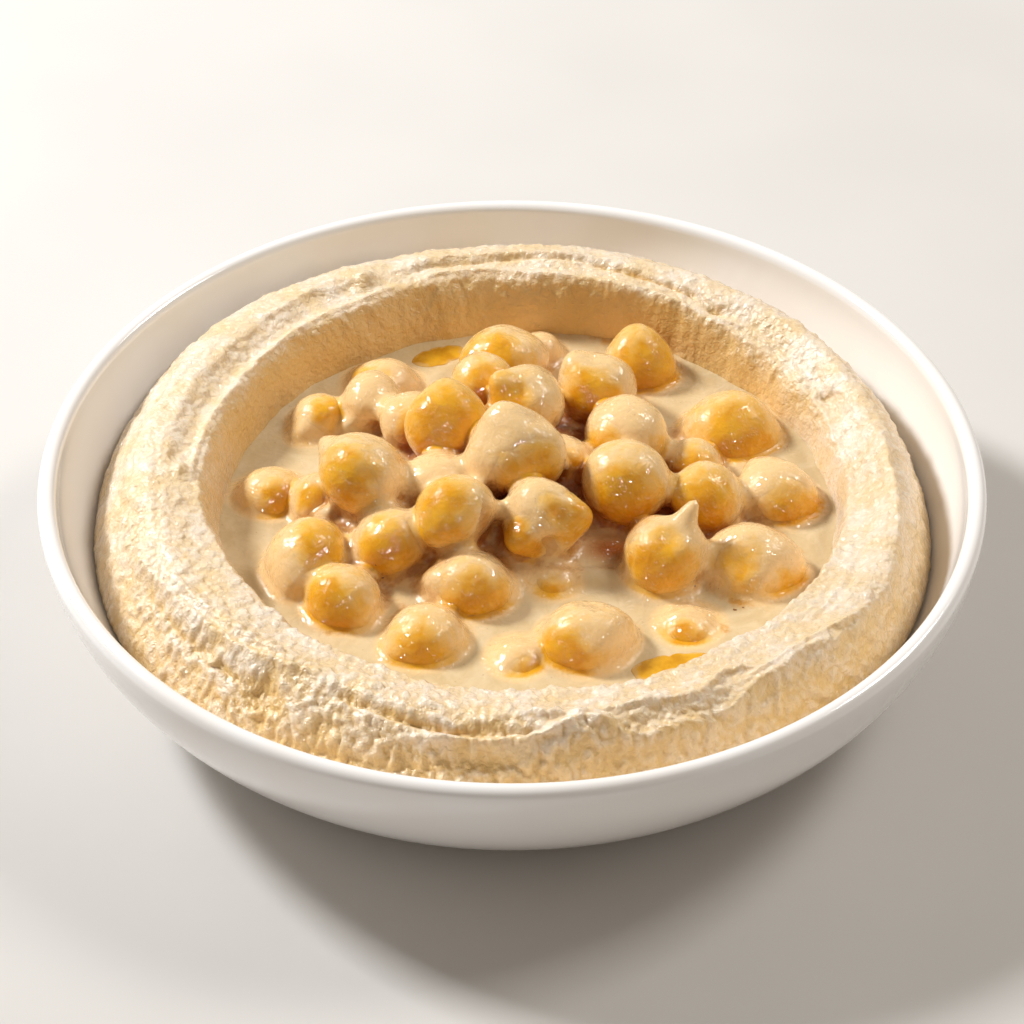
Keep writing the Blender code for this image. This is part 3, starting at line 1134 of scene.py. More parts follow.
    def ring_height(self, angle: np.ndarray, across: np.ndarray) -> np.ndarray:
        """Find the plain ring's height, before strokes, dabs and grain.

        From the pool the ring climbs steeply to a brink, rises gently on to its crest,
        and falls to the plate's wall.

        Args:
            angle: Angles in radians, anticlockwise from +X.
            across: Places across the ring, from 0 at the pool to 1 at the outer edge.

        Returns:
            The height over the pool in millimetres at each place.
        """
        crest = round_table(self.crest_place, angle)
        rise = round_table(self.crest_rise, angle)
        brink = round_table(self.brink_place, angle)
        share = round_table(self.brink_share, angle)
        edge = round_table(self.edge_height, angle) - self.pool_level
        climb = np.sin(np.pi / 2 * np.clip(across / brink, 0.0, 1.0)) ** 0.85
        terrace = ease(0.0, 1.0, (across - brink) / (crest - brink))
        inner = rise * (share * climb + (1.0 - share) * terrace)
        beyond = np.clip((across - crest) / (1.0 - crest), 0.0, 1.0)
        fall = np.clip(np.cos(np.pi / 2 * beyond), 0.0, 1.0)
        outer = edge + (rise - edge) * fall ** round_table(self.fall_power, angle)
        return np.where(across < crest, inner, outer)

    def plan(self, points: np.ndarray) -> RingPlan:
        """Find where each vertex of the turned ring stands.

        Args:
            points: The vertices in millimetres, one row each.

        Returns:
            The plan.
        """
        radius = np.hypot(points[:, 0], points[:, 1])
        angle = np.arctan2(points[:, 1], points[:, 0])
        on_ring = points[:, 2] > self.unshaped - 1.0
        in_well = ~on_ring & (points[:, 2] > self.floor - 0.1) & (radius < self.well_radius)
        outer = radius[on_ring].max()
        across = np.clip((radius - self.well_radius) / (outer - self.well_radius), 0.0, 1.0)
        return RingPlan(angle, radius, across, on_ring, in_well)

    def lay_out(self, points: np.ndarray, plan: RingPlan) -> np.ndarray:
        """Spread the ring to the plate's wall, and shift and wave the edge of its hollow.

        Args:
            points: The vertices in millimetres, one row each.
            plan: Where they stand.

        Returns:
            The vertices at their new places.
        """
        angle, across, on_ring = plan.angle, plan.across, plan.on_ring
        edge = round_table(self.edge_height, angle)
        width = self.plate.wall_radius(edge) - self.play - self.well_radius
        reach = self.well_radius + width * across
        shift = np.where(on_ring, 1.0 - across, 1.0)
        around = on_circle(angle, 50.0)
        wave = self.waves[0].rise(around) + self.waves[1].rise(around)
        wave *= np.where(on_ring, 1.0 - ease(0.1, 0.45, across), ease(44.0, 48.0, plan.radius))
        top = on_ring | plan.in_well
        moved = points.copy()
        for axis, turn in enumerate((np.cos(angle), np.sin(angle))):
            moved[:, axis] = np.where(on_ring, reach * turn, points[:, axis])
            moved[top, axis] += self.well_shift[axis] * shift[top] + (wave * turn)[top]
        return moved

    def roughness(self, top: RingPlan) -> np.ndarray:
        """Find how curdled the ring is: most at its front left, and more in front than behind.

        Args:
            top: Where the vertices of the ring's top stand.

        Returns:
            The share of the curds' height for each vertex.
        """
        curdled = ease(0.3, 0.95, np.cos(top.angle - math.radians(240.0)))
        curdled *= ease(0.2, 0.5, top.across)
        fore = ease(0.2, 0.9, -np.sin(top.angle))
        return 0.60 + 0.50 * curdled + 0.30 * fore

    def paint_shade(
        self, ring: Item, plan: RingPlan, relief: np.ndarray, crease: np.ndarray
    ) -> None:
        """Paint shade into the paste's colour: in hollows, furrows and creases between curds, on
        the inner slope towards the back, on the outer flank at the front, and where the surface
        turns away from the window.

        Args:
            ring: The shaped ring.
            plan: Where its vertices stand.
            relief: The height of strokes and dabs at each vertex.
            crease: How deep each vertex of the ring's top lies between its curds.
        """
        on_ring, top = plan.on_ring, plan.top()
        # Painted shade: where the surface turns from the window, on the inner slope towards the
        # back, in furrows, on the front flank and in creases between curds.
        facing = mesh_normals(ring) @ compass(WINDOW_TURN, WINDOW_TIP)
        shade = self.turned_away_shade * ease(0.45, 0.0, facing) * on_ring
        inner = 1.0 - ease(0.3, 1.2, top.across / round_table(self.brink_place, top.angle))
        shade[on_ring] += inner * ease(-0.1, 0.8, np.cos(top.angle - math.radians(95.0)))
        shade += self.furrow_shade * ease(0.1, 1.0, -relief) * on_ring
        flank = ease(0.62, 0.85, plan.across) * ease(-0.2, 0.9, -np.sin(plan.angle)) * on_ring
        shade += self.flank_shade * flank
        shade[on_ring] += self.crease_shade * crease
        paint(ring, Layer.HOLLOW, np.clip(shade, 0.0, 1.0))

    def shape(self, ring: Item) -> None:
        """Give the turned ring its swirled, grainy form, and paint shade into its colour.

        Args:
            ring: The turned ring.
        """
        points = mesh_points(ring)
        plan = self.plan(points)
        on_ring, top = plan.on_ring, plan.top()
        moved = self.lay_out(points, plan)
        relief = np.zeros(len(points))
        for stroke in self.strokes:
            relief += stroke.rise(plan.angle, plan.across)
        for dab in self.dabs:
            relief += dab.rise(moved)
        rest = moved[on_ring].copy()
        rest[:, 2] = self.ring_height(top.angle, top.across)
        smeared = np.column_stack((rest[:, :2] / self.smear_along, top.radius / self.smear_across))
        curds = self.pits.pile(rest, 0.13) + self.smears.rise(smeared) + self.grit.pile(rest, 0.09)
        rough = self.roughness(top)
        firm = ease(0.0, 0.12, top.across) * (1.0 - 0.6 * ease(0.93, 1.0, top.across))
        moved[on_ring, 2] = self.pool_level + rest[:, 2]
        moved[on_ring, 2] += firm * (relief[on_ring] + self.lumps.rise(rest) + rough * curds)
        lean = 1.0 - 2.0 * ease(0.35, 0.70, top.across)
        inward = (self.billows.rise(rest) + lean * rough * curds) * firm
        moved[on_ring, 0] -= inward * np.cos(top.angle)
        moved[on_ring, 1] -= inward * np.sin(top.angle)
        move_points(ring, moved)
        self.paint_shade(ring, plan, relief, rough * ease(0.06, -0.16, curds))

    def build(self) -> Item:
        """Turn, shape and dress the ring.

        Returns:
            The finished ring.
        """
        ring = turned("hummus_ring", self.section(), self.round_steps)
        self.shape(ring)
        finished(ring, HummusFinish().build(), ("hummus",))
        return ring


# ------------------------------------------------------------------ chickpeas


@dataclass(frozen=True)
class Lobe:
    """A swelling, or a dent if its rise is below 0, on one side of a chickpea.

    Turn and tip say where it faces, and width how far it spreads, in degrees. Rise is a
    share of the pea's radius.
    """

    turn: float
    tip: float
    rise: float
    width: float

    def swell(self, outward: np.ndarray) -> np.ndarray:
        """Return the lobe's share of the radius for outward directions."""
        angle = np.arccos(np.clip(outward @ compass(self.turn, self.tip), -1.0, 1.0))
        return self.rise * hill(angle, math.radians(self.width))


@dataclass(frozen=True)
class Chickpea:
    """One cooked chickpea of the heap.

    Lay is the beak's compass turn, the beak's tip up, and the roll about the beak, in
    degrees. Coat is how well the sauce hides the skin, and bare says where the skin shows
    through: the turn, the tip and the size of each bare patch, in degrees. Bare edge is
    how far inside and outside that size the veil starts and is full, and bare uneven how
    ragged that is. Beak room is the share of the radius that the frame's pea adds for the
    beak, and fullness how much rounder than its box the pea is.
    """

    number: int
    lay: tuple[float, float, float]
    coat: float
    bare: tuple[tuple[float, float, float], ...]
    beak: float = 0.14
    beak_width: float = 24.0
    cleft: float = 0.025
    plump: tuple[float, float, float] = (1.04, 1.0, 0.95)
    lobes: tuple[Lobe, ...] = ()
    beak_room: float = 0.07
    fullness: float = 1.045
    bare_edge: tuple[float, float] = (16.0, 46.0)
    bare_uneven: float = 18.0

    @property
    def node(self) -> str:
        """Return the name of the frame's node for this pea."""
        return f"chickpea_{self.number:02d}"

    @property
    def turning(self) -> np.ndarray:
        """Return the matrix that lays the pea."""
        turn, tip, roll = (math.radians(angle) for angle in self.lay)
        return np.array(Euler((roll, -tip, turn), "XYZ").to_matrix())

    @property
    def radius(self) -> float:
        """Find the pea's radius without its beak.

        Returns:
            The radius in millimetres.
        """
        low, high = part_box(self.node)
        lean = 1.0 + self.beak_room * np.abs(self.turning[:, 0])
        return float(np.mean((np.array(high) - np.array(low)) / lean)) / 2 / MM * self.fullness

    @property
    def centre(self) -> np.ndarray:
        """Find the middle of the pea.

        Returns:
            The middle in millimetres.
        """
        low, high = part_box(self.node)
        middle = (np.array(low) + np.array(high)) / 2 / MM
        return middle - self.turning[:, 0] * self.beak_room * self.radius

    def cream(self, outward: np.ndarray) -> np.ndarray:
        """Find how much the sauce hides the skin.

        Args:
            outward: Unit directions from the middle of the pea.

        Returns:
            The hidden share for each direction, from 0 to 1.
        """
        spread = np.ones(len(outward))
        inside, outside = self.bare_edge
        uneven = self.bare_uneven * grain(outward * 10.0, 6.0, 2, self.number * 1.3)
        for turn, tip, size in self.bare:
            angle = np.arccos(np.clip(outward @ compass(turn, tip), -1.0, 1.0))
            veil = ease(size - inside, size + outside, np.degrees(angle) + uneven)
            spread = np.minimum(spread, veil)
        beak = hill(np.arccos(np.clip(outward @ self.turning[:, 0], -1.0, 1.0)), 0.3)
        return np.clip(0.03 + self.coat * spread + 0.6 * beak * (self.beak > 0.25), 0.0, 1.0)

    def surface(self, directions: np.ndarray) -> np.ndarray:
        """Return the pea's surface for unit directions, as offsets from its middle.

        Args:
            directions: Unit directions before the pea is laid, the beak along +X.

        Returns:
            Offsets in millimetres after the pea is laid.
        """
        along, side, up = directions.T
        from_beak = np.arccos(np.clip(along, -1.0, 1.0))
        around = np.arctan2(side, up)
        bent = grain(directions * 10.0, 11.0, 2, self.number * 1.7)
        beak = self.beak * hill(from_beak, math.radians(self.beak_width))
        furrow = hill(around + 0.18 * bent, math.radians(24.0)) * np.sin(from_beak) ** 0.7
        cheeks = 0.02 * np.cos(2.0 * around) * np.sin(from_beak)
        radius = 1.0 + beak - self.cleft * furrow - cheeks + 0.05 * bent
        radius += 0.012 * grain(directions * 10.0, 3.5, 2, self.number * 2.3)
        outward = directions @ self.turning.T
        for lobe in self.lobes:
            radius += lobe.swell(outward)
        shaped = directions * radius[:, None] * np.array(self.plump) * self.radius
        return shaped @ self.turning.T


HEAP = (
    Chickpea(
        1, (200, 10, 20), 0.72, ((250, 30, 34),),
        lobes=(Lobe(5, 10, 0.12, 32), Lobe(20, 70, -0.10, 24)),
    ),
    Chickpea(2, (80, 0, 0), 0.92, ((270, 40, -20),)),
    Chickpea(
        3, (95, 62, 0), 0.58, ((285, 22, 48),), beak=0.24, beak_width=34,
        lobes=(Lobe(345, -10, 0.14, 36), Lobe(215, -10, 0.08, 30)),
    ),
    Chickpea(4, (150, 10, 0), 0.82, ((205, 45, 10),)),
    Chickpea(5, (250, 20, -30), 0.88, ((280, 15, -25),), lobes=(Lobe(70, 50, 0.10, 30),)),
    Chickpea(
        6, (230, 0, 20), 0.74, ((310, 55, 18),),
        lobes=(Lobe(235, -12, 0.34, 26), Lobe(215, 12, -0.10, 14), Lobe(290, 5, 0.06, 20)),
    ),
    Chickpea(
        7, (100, 20, 0), 0.66, ((275, 30, 30),),
        lobes=(Lobe(300, 60, -0.06, 14), Lobe(20, 40, 0.06, 26)),
    ),
    Chickpea(
        8, (60, 10, 40), 0.74, ((235, 35, 16),),
        lobes=(Lobe(190, 52, 0.40, 20), Lobe(340, 25, 0.12, 24), Lobe(262, 62, -0.12, 16)),
    ),
    Chickpea(
        9, (150, 50, -10), 0.76, ((262, 28, 30),), beak=0.24,
        lobes=(Lobe(120, 78, -0.08, 16), Lobe(15, 30, 0.12, 32), Lobe(300, 65, -0.05, 18)),
    ),
    Chickpea(
        10, (140, 10, 0), 0.76, ((285, 35, 12),),
        lobes=(Lobe(230, -10, 0.12, 34), Lobe(60, 30, 0.10, 34)),
    ),
    Chickpea(11, (95, 55, 0), 0.55, ((275, 32, 50),), beak=0.17, lobes=(Lobe(190, 5, 0.05, 35),)),
    Chickpea(
        12, (330, -20, 50), 0.80, ((298, 0, 22),),
        lobes=(
            Lobe(130, 66, 0.20, 22), Lobe(350, 12, 0.16, 28), Lobe(208, -8, 0.20, 28),
            Lobe(20, 52, -0.12, 18), Lobe(225, 45, -0.05, 18),
        ),
    ),
    Chickpea(
        13, (20, 0, 0), 0.78, ((300, 30, 10),),
        lobes=(Lobe(330, 20, 0.12, 35), Lobe(250, 0, 0.06, 30)),
    ),
    Chickpea(
        14, (120, 10, -20), 0.86, ((225, 15, 12), (330, 10, -5)), lobes=(Lobe(330, 20, 0.05, 30),)
    ),
    Chickpea(
        15, (290, -35, 0), 0.70, ((268, 12, 36),), beak=0.10, beak_width=20, cleft=0.01,
        lobes=(Lobe(190, -5, 0.05, 30), Lobe(350, 10, 0.05, 30)),
    ),
    Chickpea(
        16, (350, 0, 30), 0.66, ((275, 35, 34),),
        lobes=(Lobe(180, 0, 0.08, 30), Lobe(300, 55, -0.04, 20)),
    ),
    Chickpea(17, (170, 0, 0), 0.72, ((270, 45, 12),)),
    Chickpea(18, (210, 20, -30), 0.66, ((262, 30, 34),), lobes=(Lobe(340, 20, -0.05, 20),)),
    Chickpea(
        19, (130, 25, 10), 0.84, ((290, 12, 22), (330, 0, 10)), beak=0.18,
        lobes=(Lobe(340, -10, 0.12, 30), Lobe(240, 10, -0.05, 18)),
    ),
    Chickpea(
        20, (140, 18, 20), 0.74, ((240, 30, 26),), beak=0.30, beak_width=15,
        lobes=(
            Lobe(120, 50, 0.04, 20), Lobe(250, 40, 0.05, 22), Lobe(320, 30, 0.04, 26),
            Lobe(283, 36, -0.05, 13),
        ),
    ),
    Chickpea(
        21, (240, 0, 0), 0.80, ((245, 40, 12),),
        lobes=(Lobe(230, -10, 0.12, 34), Lobe(320, 0, 0.08, 26)),
    ),
    Chickpea(
        22, (180, 0, 20), 0.74, ((300, 25, 26),),
        lobes=(Lobe(270, -20, 0.10, 36), Lobe(0, 20, 0.05, 30)),
    ),
    Chickpea(23, (60, 0, 0), 0.90, ((285, 45, -20),), lobes=(Lobe(10, 30, 0.08, 34),)),
    Chickpea(
        24, (230, -10, 30), 0.70, ((238, 38, 34),), cleft=0.01,
        lobes=(Lobe(0, 25, 0.06, 30), Lobe(285, 50, -0.04, 16)),
    ),
    Chickpea(
        25, (350, 10, 60), 0.86, ((228, -8, 22), (335, 12, 22), (300, 55, -4)),
        cleft=0.05, plump=(0.96, 0.90, 0.80),
        lobes=(
            Lobe(234, 0, 0.38, 21), Lobe(345, 22, 0.16, 24), Lobe(280, -4, -0.30, 18),
            Lobe(202, 34, -0.10, 16), Lobe(305, 42, -0.12, 13), Lobe(110, 66, 0.10, 24),
        ),
    ),
    Chickpea(
        26, (203, -12, 10), 0.72, ((265, 30, 30),), beak=0.55, beak_width=11,
        lobes=(Lobe(0, 0, 0.12, 36), Lobe(255, 0, 0.04, 30)),
    ),
    Chickpea(
        27, (255, 0, 40), 0.76, ((320, 50, 22),), plump=(1.12, 1.0, 0.97),
        lobes=(Lobe(250, 35, -0.04, 20),),
    ),
    Chickpea(28, (300, -10, 0), 0.66, ((240, 20, 36),), cleft=0.01, lobes=(Lobe(0, 25, 0.05, 30),)),
    Chickpea(
        29, (175, 10, 20), 0.74, ((278, 12, 30),),
        lobes=(Lobe(180, 5, 0.16, 30), Lobe(330, 25, 0.05, 30)),
    ),
    Chickpea(30, (215, 0, 0), 0.72, ((262, 22, 24),), cleft=0.0, lobes=(Lobe(320, 30, 0.04, 30),)),
    Chickpea(
        31, (10, 10, -20), 0.76, ((240, 12, 24),),
        lobes=(
            Lobe(20, 35, 0.07, 22), Lobe(60, 65, -0.08, 16), Lobe(280, 50, -0.04, 18),
            Lobe(200, 10, 0.04, 30),
        ),
    ),
    Chickpea(
        32, (30, 58, 0), 0.70, ((255, 25, 30),), beak=0.60, beak_width=12,
        lobes=(
            Lobe(70, 50, -0.10, 24), Lobe(5, 25, 0.12, 22), Lobe(285, 68, -0.14, 17),
            Lobe(212, 42, 0.08, 20),
        ),
    ),
    Chickpea(
        33, (340, 0, 30), 0.88, ((236, 42, 12), (320, -5, 10)),
        lobes=(Lobe(248, 45, -0.12, 18), Lobe(0, 10, 0.14, 28)),
    ),
    Chickpea(34, (100, 0, 0), 0.86, ((270, 40, 10),)),
    Chickpea(35, (30, 0, 0), 0.80, ((255, 25, 26),)),
    Chickpea(36, (270, 0, 0), 0.80, ((300, 15, 26),)),
)


@dataclass
class ChickpeaHeap:
    """The heap: one piece for each chickpea, pressed flat where two of them meet."""

    peas: tuple[Chickpea, ...] = HEAP
    sides: int = 56
    rings: int = 36
    gap: float = 0.05
    reach: float = 1.5
    hardness: float = 6.0
    rays: int = 16
    ray_start: float = 0.35
    ray_reach: float = 14.0
    pieces: dict[int, Item] = field(default_factory=dict)

    def press(self, pea: Chickpea, points: np.ndarray) -> np.ndarray:
        """Flatten a pea softly against its neighbours.

        Args:
            pea: The pea that is pressed.
            points: Its surface in millimetres.

        Returns:
            The pressed surface.
        """
        centre = pea.centre
        for other in self.peas:
            apart = other.centre - centre
            distance = float(np.linalg.norm(apart))
            if other is pea or distance > self.reach * (pea.radius + other.radius):
                continue
            normal = apart / distance
            limit = distance * pea.radius / (pea.radius + other.radius) - self.gap
            depth = (points - centre) @ normal - limit
            pushed = np.logaddexp(0.0, depth * self.hardness) / self.hardness
            points = points - np.outer(pushed, normal)
        return points

    def shape(self, pea: Chickpea) -> Item:
        """Model one pea from a sphere.

        Args:
            pea: How the pea lies and what form it has.

        Returns:
            The pea, with its place in its mesh.
        """
        item = ball(f"{pea.node}_skin", self.sides, self.rings)
        directions = mesh_points(item) * MM
        directions = directions[:, (2, 0, 1)]
        directions /= np.linalg.norm(directions, axis=1)[:, None]
        points = self.press(pea, pea.centre + pea.surface(directions))
        move_points(item, points)
        return item

    def build(self) -> None:
        """Model every pea."""
        for pea in self.peas:
            self.pieces[pea.number] = self.shape(pea)

    def solid_tree(self) -> BVHTree:
        """Gather all the peas into one search tree.

        Returns:
            The tree, in millimetres.
        """
        corners: list[Sequence[float]] = []
        faces: list[list[int]] = []
        for item in self.pieces.values():
            start = len(corners)
            corners.extend(mesh_points(item).tolist())
            faces.extend([start + v for v in face.vertices] for face in item.data.polygons)
        return BVHTree.FromPolygons(corners, faces)

    def shelter(self, item: Item, tree: BVHTree) -> np.ndarray:
        """Return how much of the sky the heap hides from each vertex, from 0 to 1.

        Args:
            item: The piece whose vertices are asked about.
            tree: The search tree of all the peas.

        Returns:
            The hidden share for each vertex.
        """
        golden = math.pi * (3.0 - math.sqrt(5.0))
        rays = []
        for k in range(self.rays):
            height = (k + 0.5) / self.rays
            flat = math.sqrt(1.0 - height * height)
            rays.append(Vector((flat * math.cos(k * golden), flat * math.sin(k * golden), height)))
        starts = mesh_points(item) + mesh_normals(item) * self.ray_start
        hidden = np.zeros(len(starts))
        for index, start in enumerate(starts):
            origin = Vector(start)
            blocked = sum(1 for ray in rays if tree.ray_cast(origin, ray, self.ray_reach)[0])
            hidden[index] = blocked / self.rays
        return hidden

    def dress(self) -> None:
        """Paint each pea where sauce veils it, paint shade where the heap hides the sky, and give
        it its skin.
        """
        material = ChickpeaFinish().build()
        tree = self.solid_tree()
        for pea in self.peas:
            item = self.pieces[pea.number]
            outward = mesh_points(item) - pea.centre
            outward /= np.linalg.norm(outward, axis=1)[:, None]
            paint(item, Layer.CREAM, pea.cream(outward))
            # Painted shade where the heap hides the sky.
            paint(item, Layer.CREVICE, ease(0.42, 0.95, self.shelter(item, tree)))
            finished(item, material, (pea.node,))


# --------------------------------------------------------------------- tahini


@dataclass(frozen=True)
class Web:
    """A strand of sauce between two places, in millimetres, with its radius."""

    start: tuple[float, float, float]
    end: tuple[float, float, float]
    radius: float


@dataclass
class TahiniPool:
    """The sauce: a pool that climbs between the chickpeas and clings to them."""

    heap: ChickpeaHeap
    level: float = POOL_LEVEL
    radius: float = 51.0
    centre: tuple[float, float] = (2.6, 1.0)
    voxel: float = 0.45
    fillet: float = 0.70
    floor: float = 14.8
    spare: float = 4.0
    mound: tuple[float, float, float] = (-3.0, 5.0, 3.6)
    mound_radius: float = 27.0
    mound_sink: float = 5.0
    thickest: float = 5.0
    soft_factor: float = 0.5
    soft_rounds: int = 4
    coat_bare: float = -0.40
    coat_swell: float = 0.58
    climb_height: float = 0.55
    climb_width: float = 0.8
    climb_band: float = 9.0
    climb_zone: tuple[float, float] = (-0.6, 1.5)
    webs: tuple[Web, ...] = (
        Web((19.5, -3.5, 20.5), (22.5, -8.5, 20.0), 1.7),
        Web((2.0, -2.2, 23.5), (4.0, -4.0, 22.5), 1.1),
        Web((-3.0, 22.0, 27.0), (0.0, 20.5, 28.0), 1.3),
        Web((5.0, 3.5, 26.0), (8.0, 5.0, 24.5), 1.8),
        Web((-24.0, 26.0, 22.0), (-19.0, 22.0, 22.5), 1.6),
        Web((-29.5, -2.5, 20.5), (-31.5, -7.0, 20.5), 1.7),
        Web((-15.5, -9.5, 22.5), (-12.5, -9.0, 23.0), 1.2),
        Web((-5.0, 16.5, 26.0), (-2.0, 18.0, 26.0), 1.2),
        Web((-21.0, -15.5, 18.0), (-13.0, -17.0, 18.0), 1.5),
        Web((18.0, -15.0, 16.6), (8.0, -15.0, 16.6), 2.6),
        Web((-26.5, -4.0, 17.5), (-24.5, -6.5, 17.5), 3.6),
        Web((-3.5, -7.0, 18.5), (-1.5, -13.0, 17.0), 4.2),
        Web((-15.0, -4.5, 18.0), (-10.0, -3.5, 18.5), 3.0),
        Web((-27.0, 22.0, 19.5), (-24.0, 24.0, 20.5), 1.6),
        Web((-29.0, -22.0, 17.5), (-33.5, -19.0, 17.5), 1.6),
        Web((-3.2, -0.6, 23.4), (-1.4, 1.0, 23.0), 2.0),
        Web((8.6, 5.0, 20.6), (10.4, 7.4, 20.6), 2.6),
    )
    # Patches of painted shade on the sauce, each with a place, a strength and two radii.
    shades: tuple[Dab, ...] = (
        Dab(16.0, -9.0, 1.0, 6.0, 3.6, 10.0),
        Dab(-13.5, -15.5, 0.60, 7.0, 2.8, 12.0),
        Dab(-2.5, -13.5, 0.75, 4.0, 2.6, -30.0),
    )
    stains: tuple[Dab, ...] = (
        Dab(44.8, -12.5, 0.9, 5.0, 0.9, 78.0),
        Dab(41.0, -18.5, 0.8, 3.5, 1.0, 25.0),
        Dab(35.5, -20.5, 0.9, 2.2, 1.2, -20.0),
        Dab(32.5, -27.0, 0.7, 2.2, 1.2, -20.0),
        Dab(3.6, -35.4, 0.9, 1.3, 1.6, 20.0),
        Dab(-2.0, -34.5, 0.7, 1.0, 1.4, 0.0),
        Dab(-27.5, -27.8, 0.7, 3.0, 0.7, -8.0),
        Dab(2.0, 50.6, 0.8, 13.0, 1.2, 2.0),
        Dab(18.5, 47.5, 0.6, 6.0, 1.2, -20.0),
        Dab(6.5, -17.5, 0.5, 3.0, 0.8, 0.0),
    )

    def slab(self) -> Item:
        """Model the pool's body, a disc whose top is the sauce level.

        Returns:
            The disc.
        """
        deselect_all()
        bottom = self.floor - self.spare
        bpy.ops.mesh.primitive_cylinder_add(
            vertices=192,
            radius=self.radius * MM,
            depth=(self.level - bottom) * MM,
            location=(self.centre[0] * MM, self.centre[1] * MM, (self.level + bottom) / 2 * MM),
        )
        slab = bpy.context.object
        slab.name = "tahini_sauce"
        settle(slab)
        return slab

    def rise(self) -> Item:
        """Model the low mound of sauce that fills the foot of the heap.

        Returns:
            The mound, most of which is below the sauce level.
        """
        deselect_all()
        x, y, height = self.mound
        sunk = self.level - self.mound_sink
        bpy.ops.mesh.primitive_uv_sphere_add(
            segments=64, ring_count=32, radius=1.0, location=(x * MM, y * MM, sunk * MM)
        )
        mound = bpy.context.object
        tall = height + self.mound_sink
        wide = self.mound_radius / math.sqrt(1.0 - (self.mound_sink / tall) ** 2)
        mound.scale = (wide * MM, wide * MM, tall * MM)
        settle(mound)
        return mound

    def coat(self, pea: Chickpea) -> Item:
        """Model the pea's own coat: its shape, swollen where sauce clings.

        A bare side lies just inside the pea's skin, so that the skin shows there.

        Args:
            pea: The pea.

        Returns:
            The coat.
        """
        coat = copy_of(self.heap.pieces[pea.number], f"coat_{pea.number:02d}")
        points = mesh_points(coat)
        outward = points - pea.centre
        outward /= np.linalg.norm(outward, axis=1)[:, None]
        cover = ease(0.35, 0.85, pea.cream(outward))
        thickness = self.coat_bare + cover * self.coat_swell
        move_points(coat, points + outward * thickness[:, None])
        return coat

    def strand(self, web: Web) -> Item:
        """Model one strand of sauce as a thin spindle.

        Args:
            web: The strand's place and radius.

        Returns:
            The strand.
        """
        start, end = Vector(web.start) * MM, Vector(web.end) * MM
        deselect_all()
        bpy.ops.mesh.primitive_uv_sphere_add(segments=16, ring_count=12, radius=1.0)
        item = bpy.context.object
        item.scale = (web.radius * MM, web.radius * MM, (end - start).length / 2 + web.radius * MM)
        item.rotation_euler = (end - start).to_track_quat("Z", "Y").to_euler()
        item.location = (start + end) / 2
        settle(item)
        return item

    def remesh(self, sauce: Item) -> None:
        """Melt the joined shapes into one skin."""
        apply_modifier(sauce, Shaper.MELT, mode="VOXEL", voxel_size=self.voxel * MM, adaptivity=0.0)

    def swell(self, sauce: Item, distance: float) -> None:
        """Move the skin along its normals by a distance in millimetres."""
        apply_modifier(sauce, Shaper.SWELL, strength=distance * MM, mid_level=0.0)

    def climb(self, sauce: Item, wall: Item) -> None:
        """Let the pool's edge climb a little where it wets the wall of hummus.

        Args:
            sauce: The sauce.
            wall: The hummus.
        """
        points = mesh_points(sauce)
        tree = BVHTree.FromObject(wall, bpy.context.evaluated_depsgraph_get())
        reach = self.climb_width * 3.0
        east, north = points[:, 0] - self.centre[0], points[:, 1] - self.centre[1]
        outer = np.hypot(east, north) > self.radius - self.climb_band
        above = points[:, 2] - self.level
        low, high = self.climb_zone
        for index in np.nonzero(outer & (above > low) & (above < high))[0]:
            hit = tree.find_nearest(Vector(points[index]) * MM, reach * MM)
            if hit[0] is None:
                continue
            inside = (Vector(points[index]) * MM - hit[0]).dot(hit[1]) < 0.0
            away = 0.0 if inside else hit[3] / MM
            points[index, 2] += self.climb_height * math.exp(-away / self.climb_width)
        move_points(sauce, points)

    def build(self, wall: Item) -> Item:
        """Model the sauce.

        Args:
            wall: The hummus, whose wall holds the sauce.

        Returns:
            The sauce, not yet dressed.
        """
        parts = [self.slab(), self.rise()]
        parts += [self.coat(pea) for pea in self.heap.peas]
        parts += [self.strand(web) for web in self.webs]
        sauce = join(parts)
        self.remesh(sauce)
        self.swell(sauce, self.fillet)
        self.remesh(sauce)
        self.swell(sauce, -self.fillet)
        self.remesh(sauce)
        apply_modifier(sauce, Shaper.SOFTEN, factor=self.soft_factor, iterations=self.soft_rounds)
        edit_all(sauce)
        bpy.ops.mesh.bisect(
            plane_co=(0, 0, self.floor * MM), plane_no=(0, 0, 1), use_fill=True, clear_inner=True
        )
        leave_edit()
        self.climb(sauce, wall)
        return sauce

    def film(self, points: np.ndarray) -> tuple[np.ndarray, np.ndarray]:
        """Find how thick the sauce stands over the nearest pea, and how it hides its skin.

        Args:
            points: Places on the sauce in millimetres, one row each.

        Returns:
            The thickness in millimetres, and the hidden share, for each place.
        """
        film = np.full(len(points), self.thickest)
        cream = np.ones(len(points))
        graph = bpy.context.evaluated_depsgraph_get()
        for pea in self.heap.peas:
            offset = points - pea.centre
            near = np.nonzero(np.linalg.norm(offset, axis=1) < pea.radius * 1.35 + 2.5)[0]
            tree = BVHTree.FromObject(self.heap.pieces[pea.number], graph)
            found = [tree.find_nearest(Vector(points[index]) * MM) for index in near]
            place = np.array([hit[0] for hit in found]) / MM
            normal = np.array([hit[1] for hit in found])
            distance = np.array([hit[3] for hit in found]) / MM
            outside = np.einsum("ij,ij->i", points[near] - place, normal) > 0.0
            signed = np.where(outside, distance, -distance)
            outward = offset[near] / np.linalg.norm(offset[near], axis=1)[:, None]
            closer = signed < film[near]
            film[near] = np.where(closer, signed, film[near])
            cream[near] = np.where(closer, pea.cream(outward), cream[near])
        return film, cream

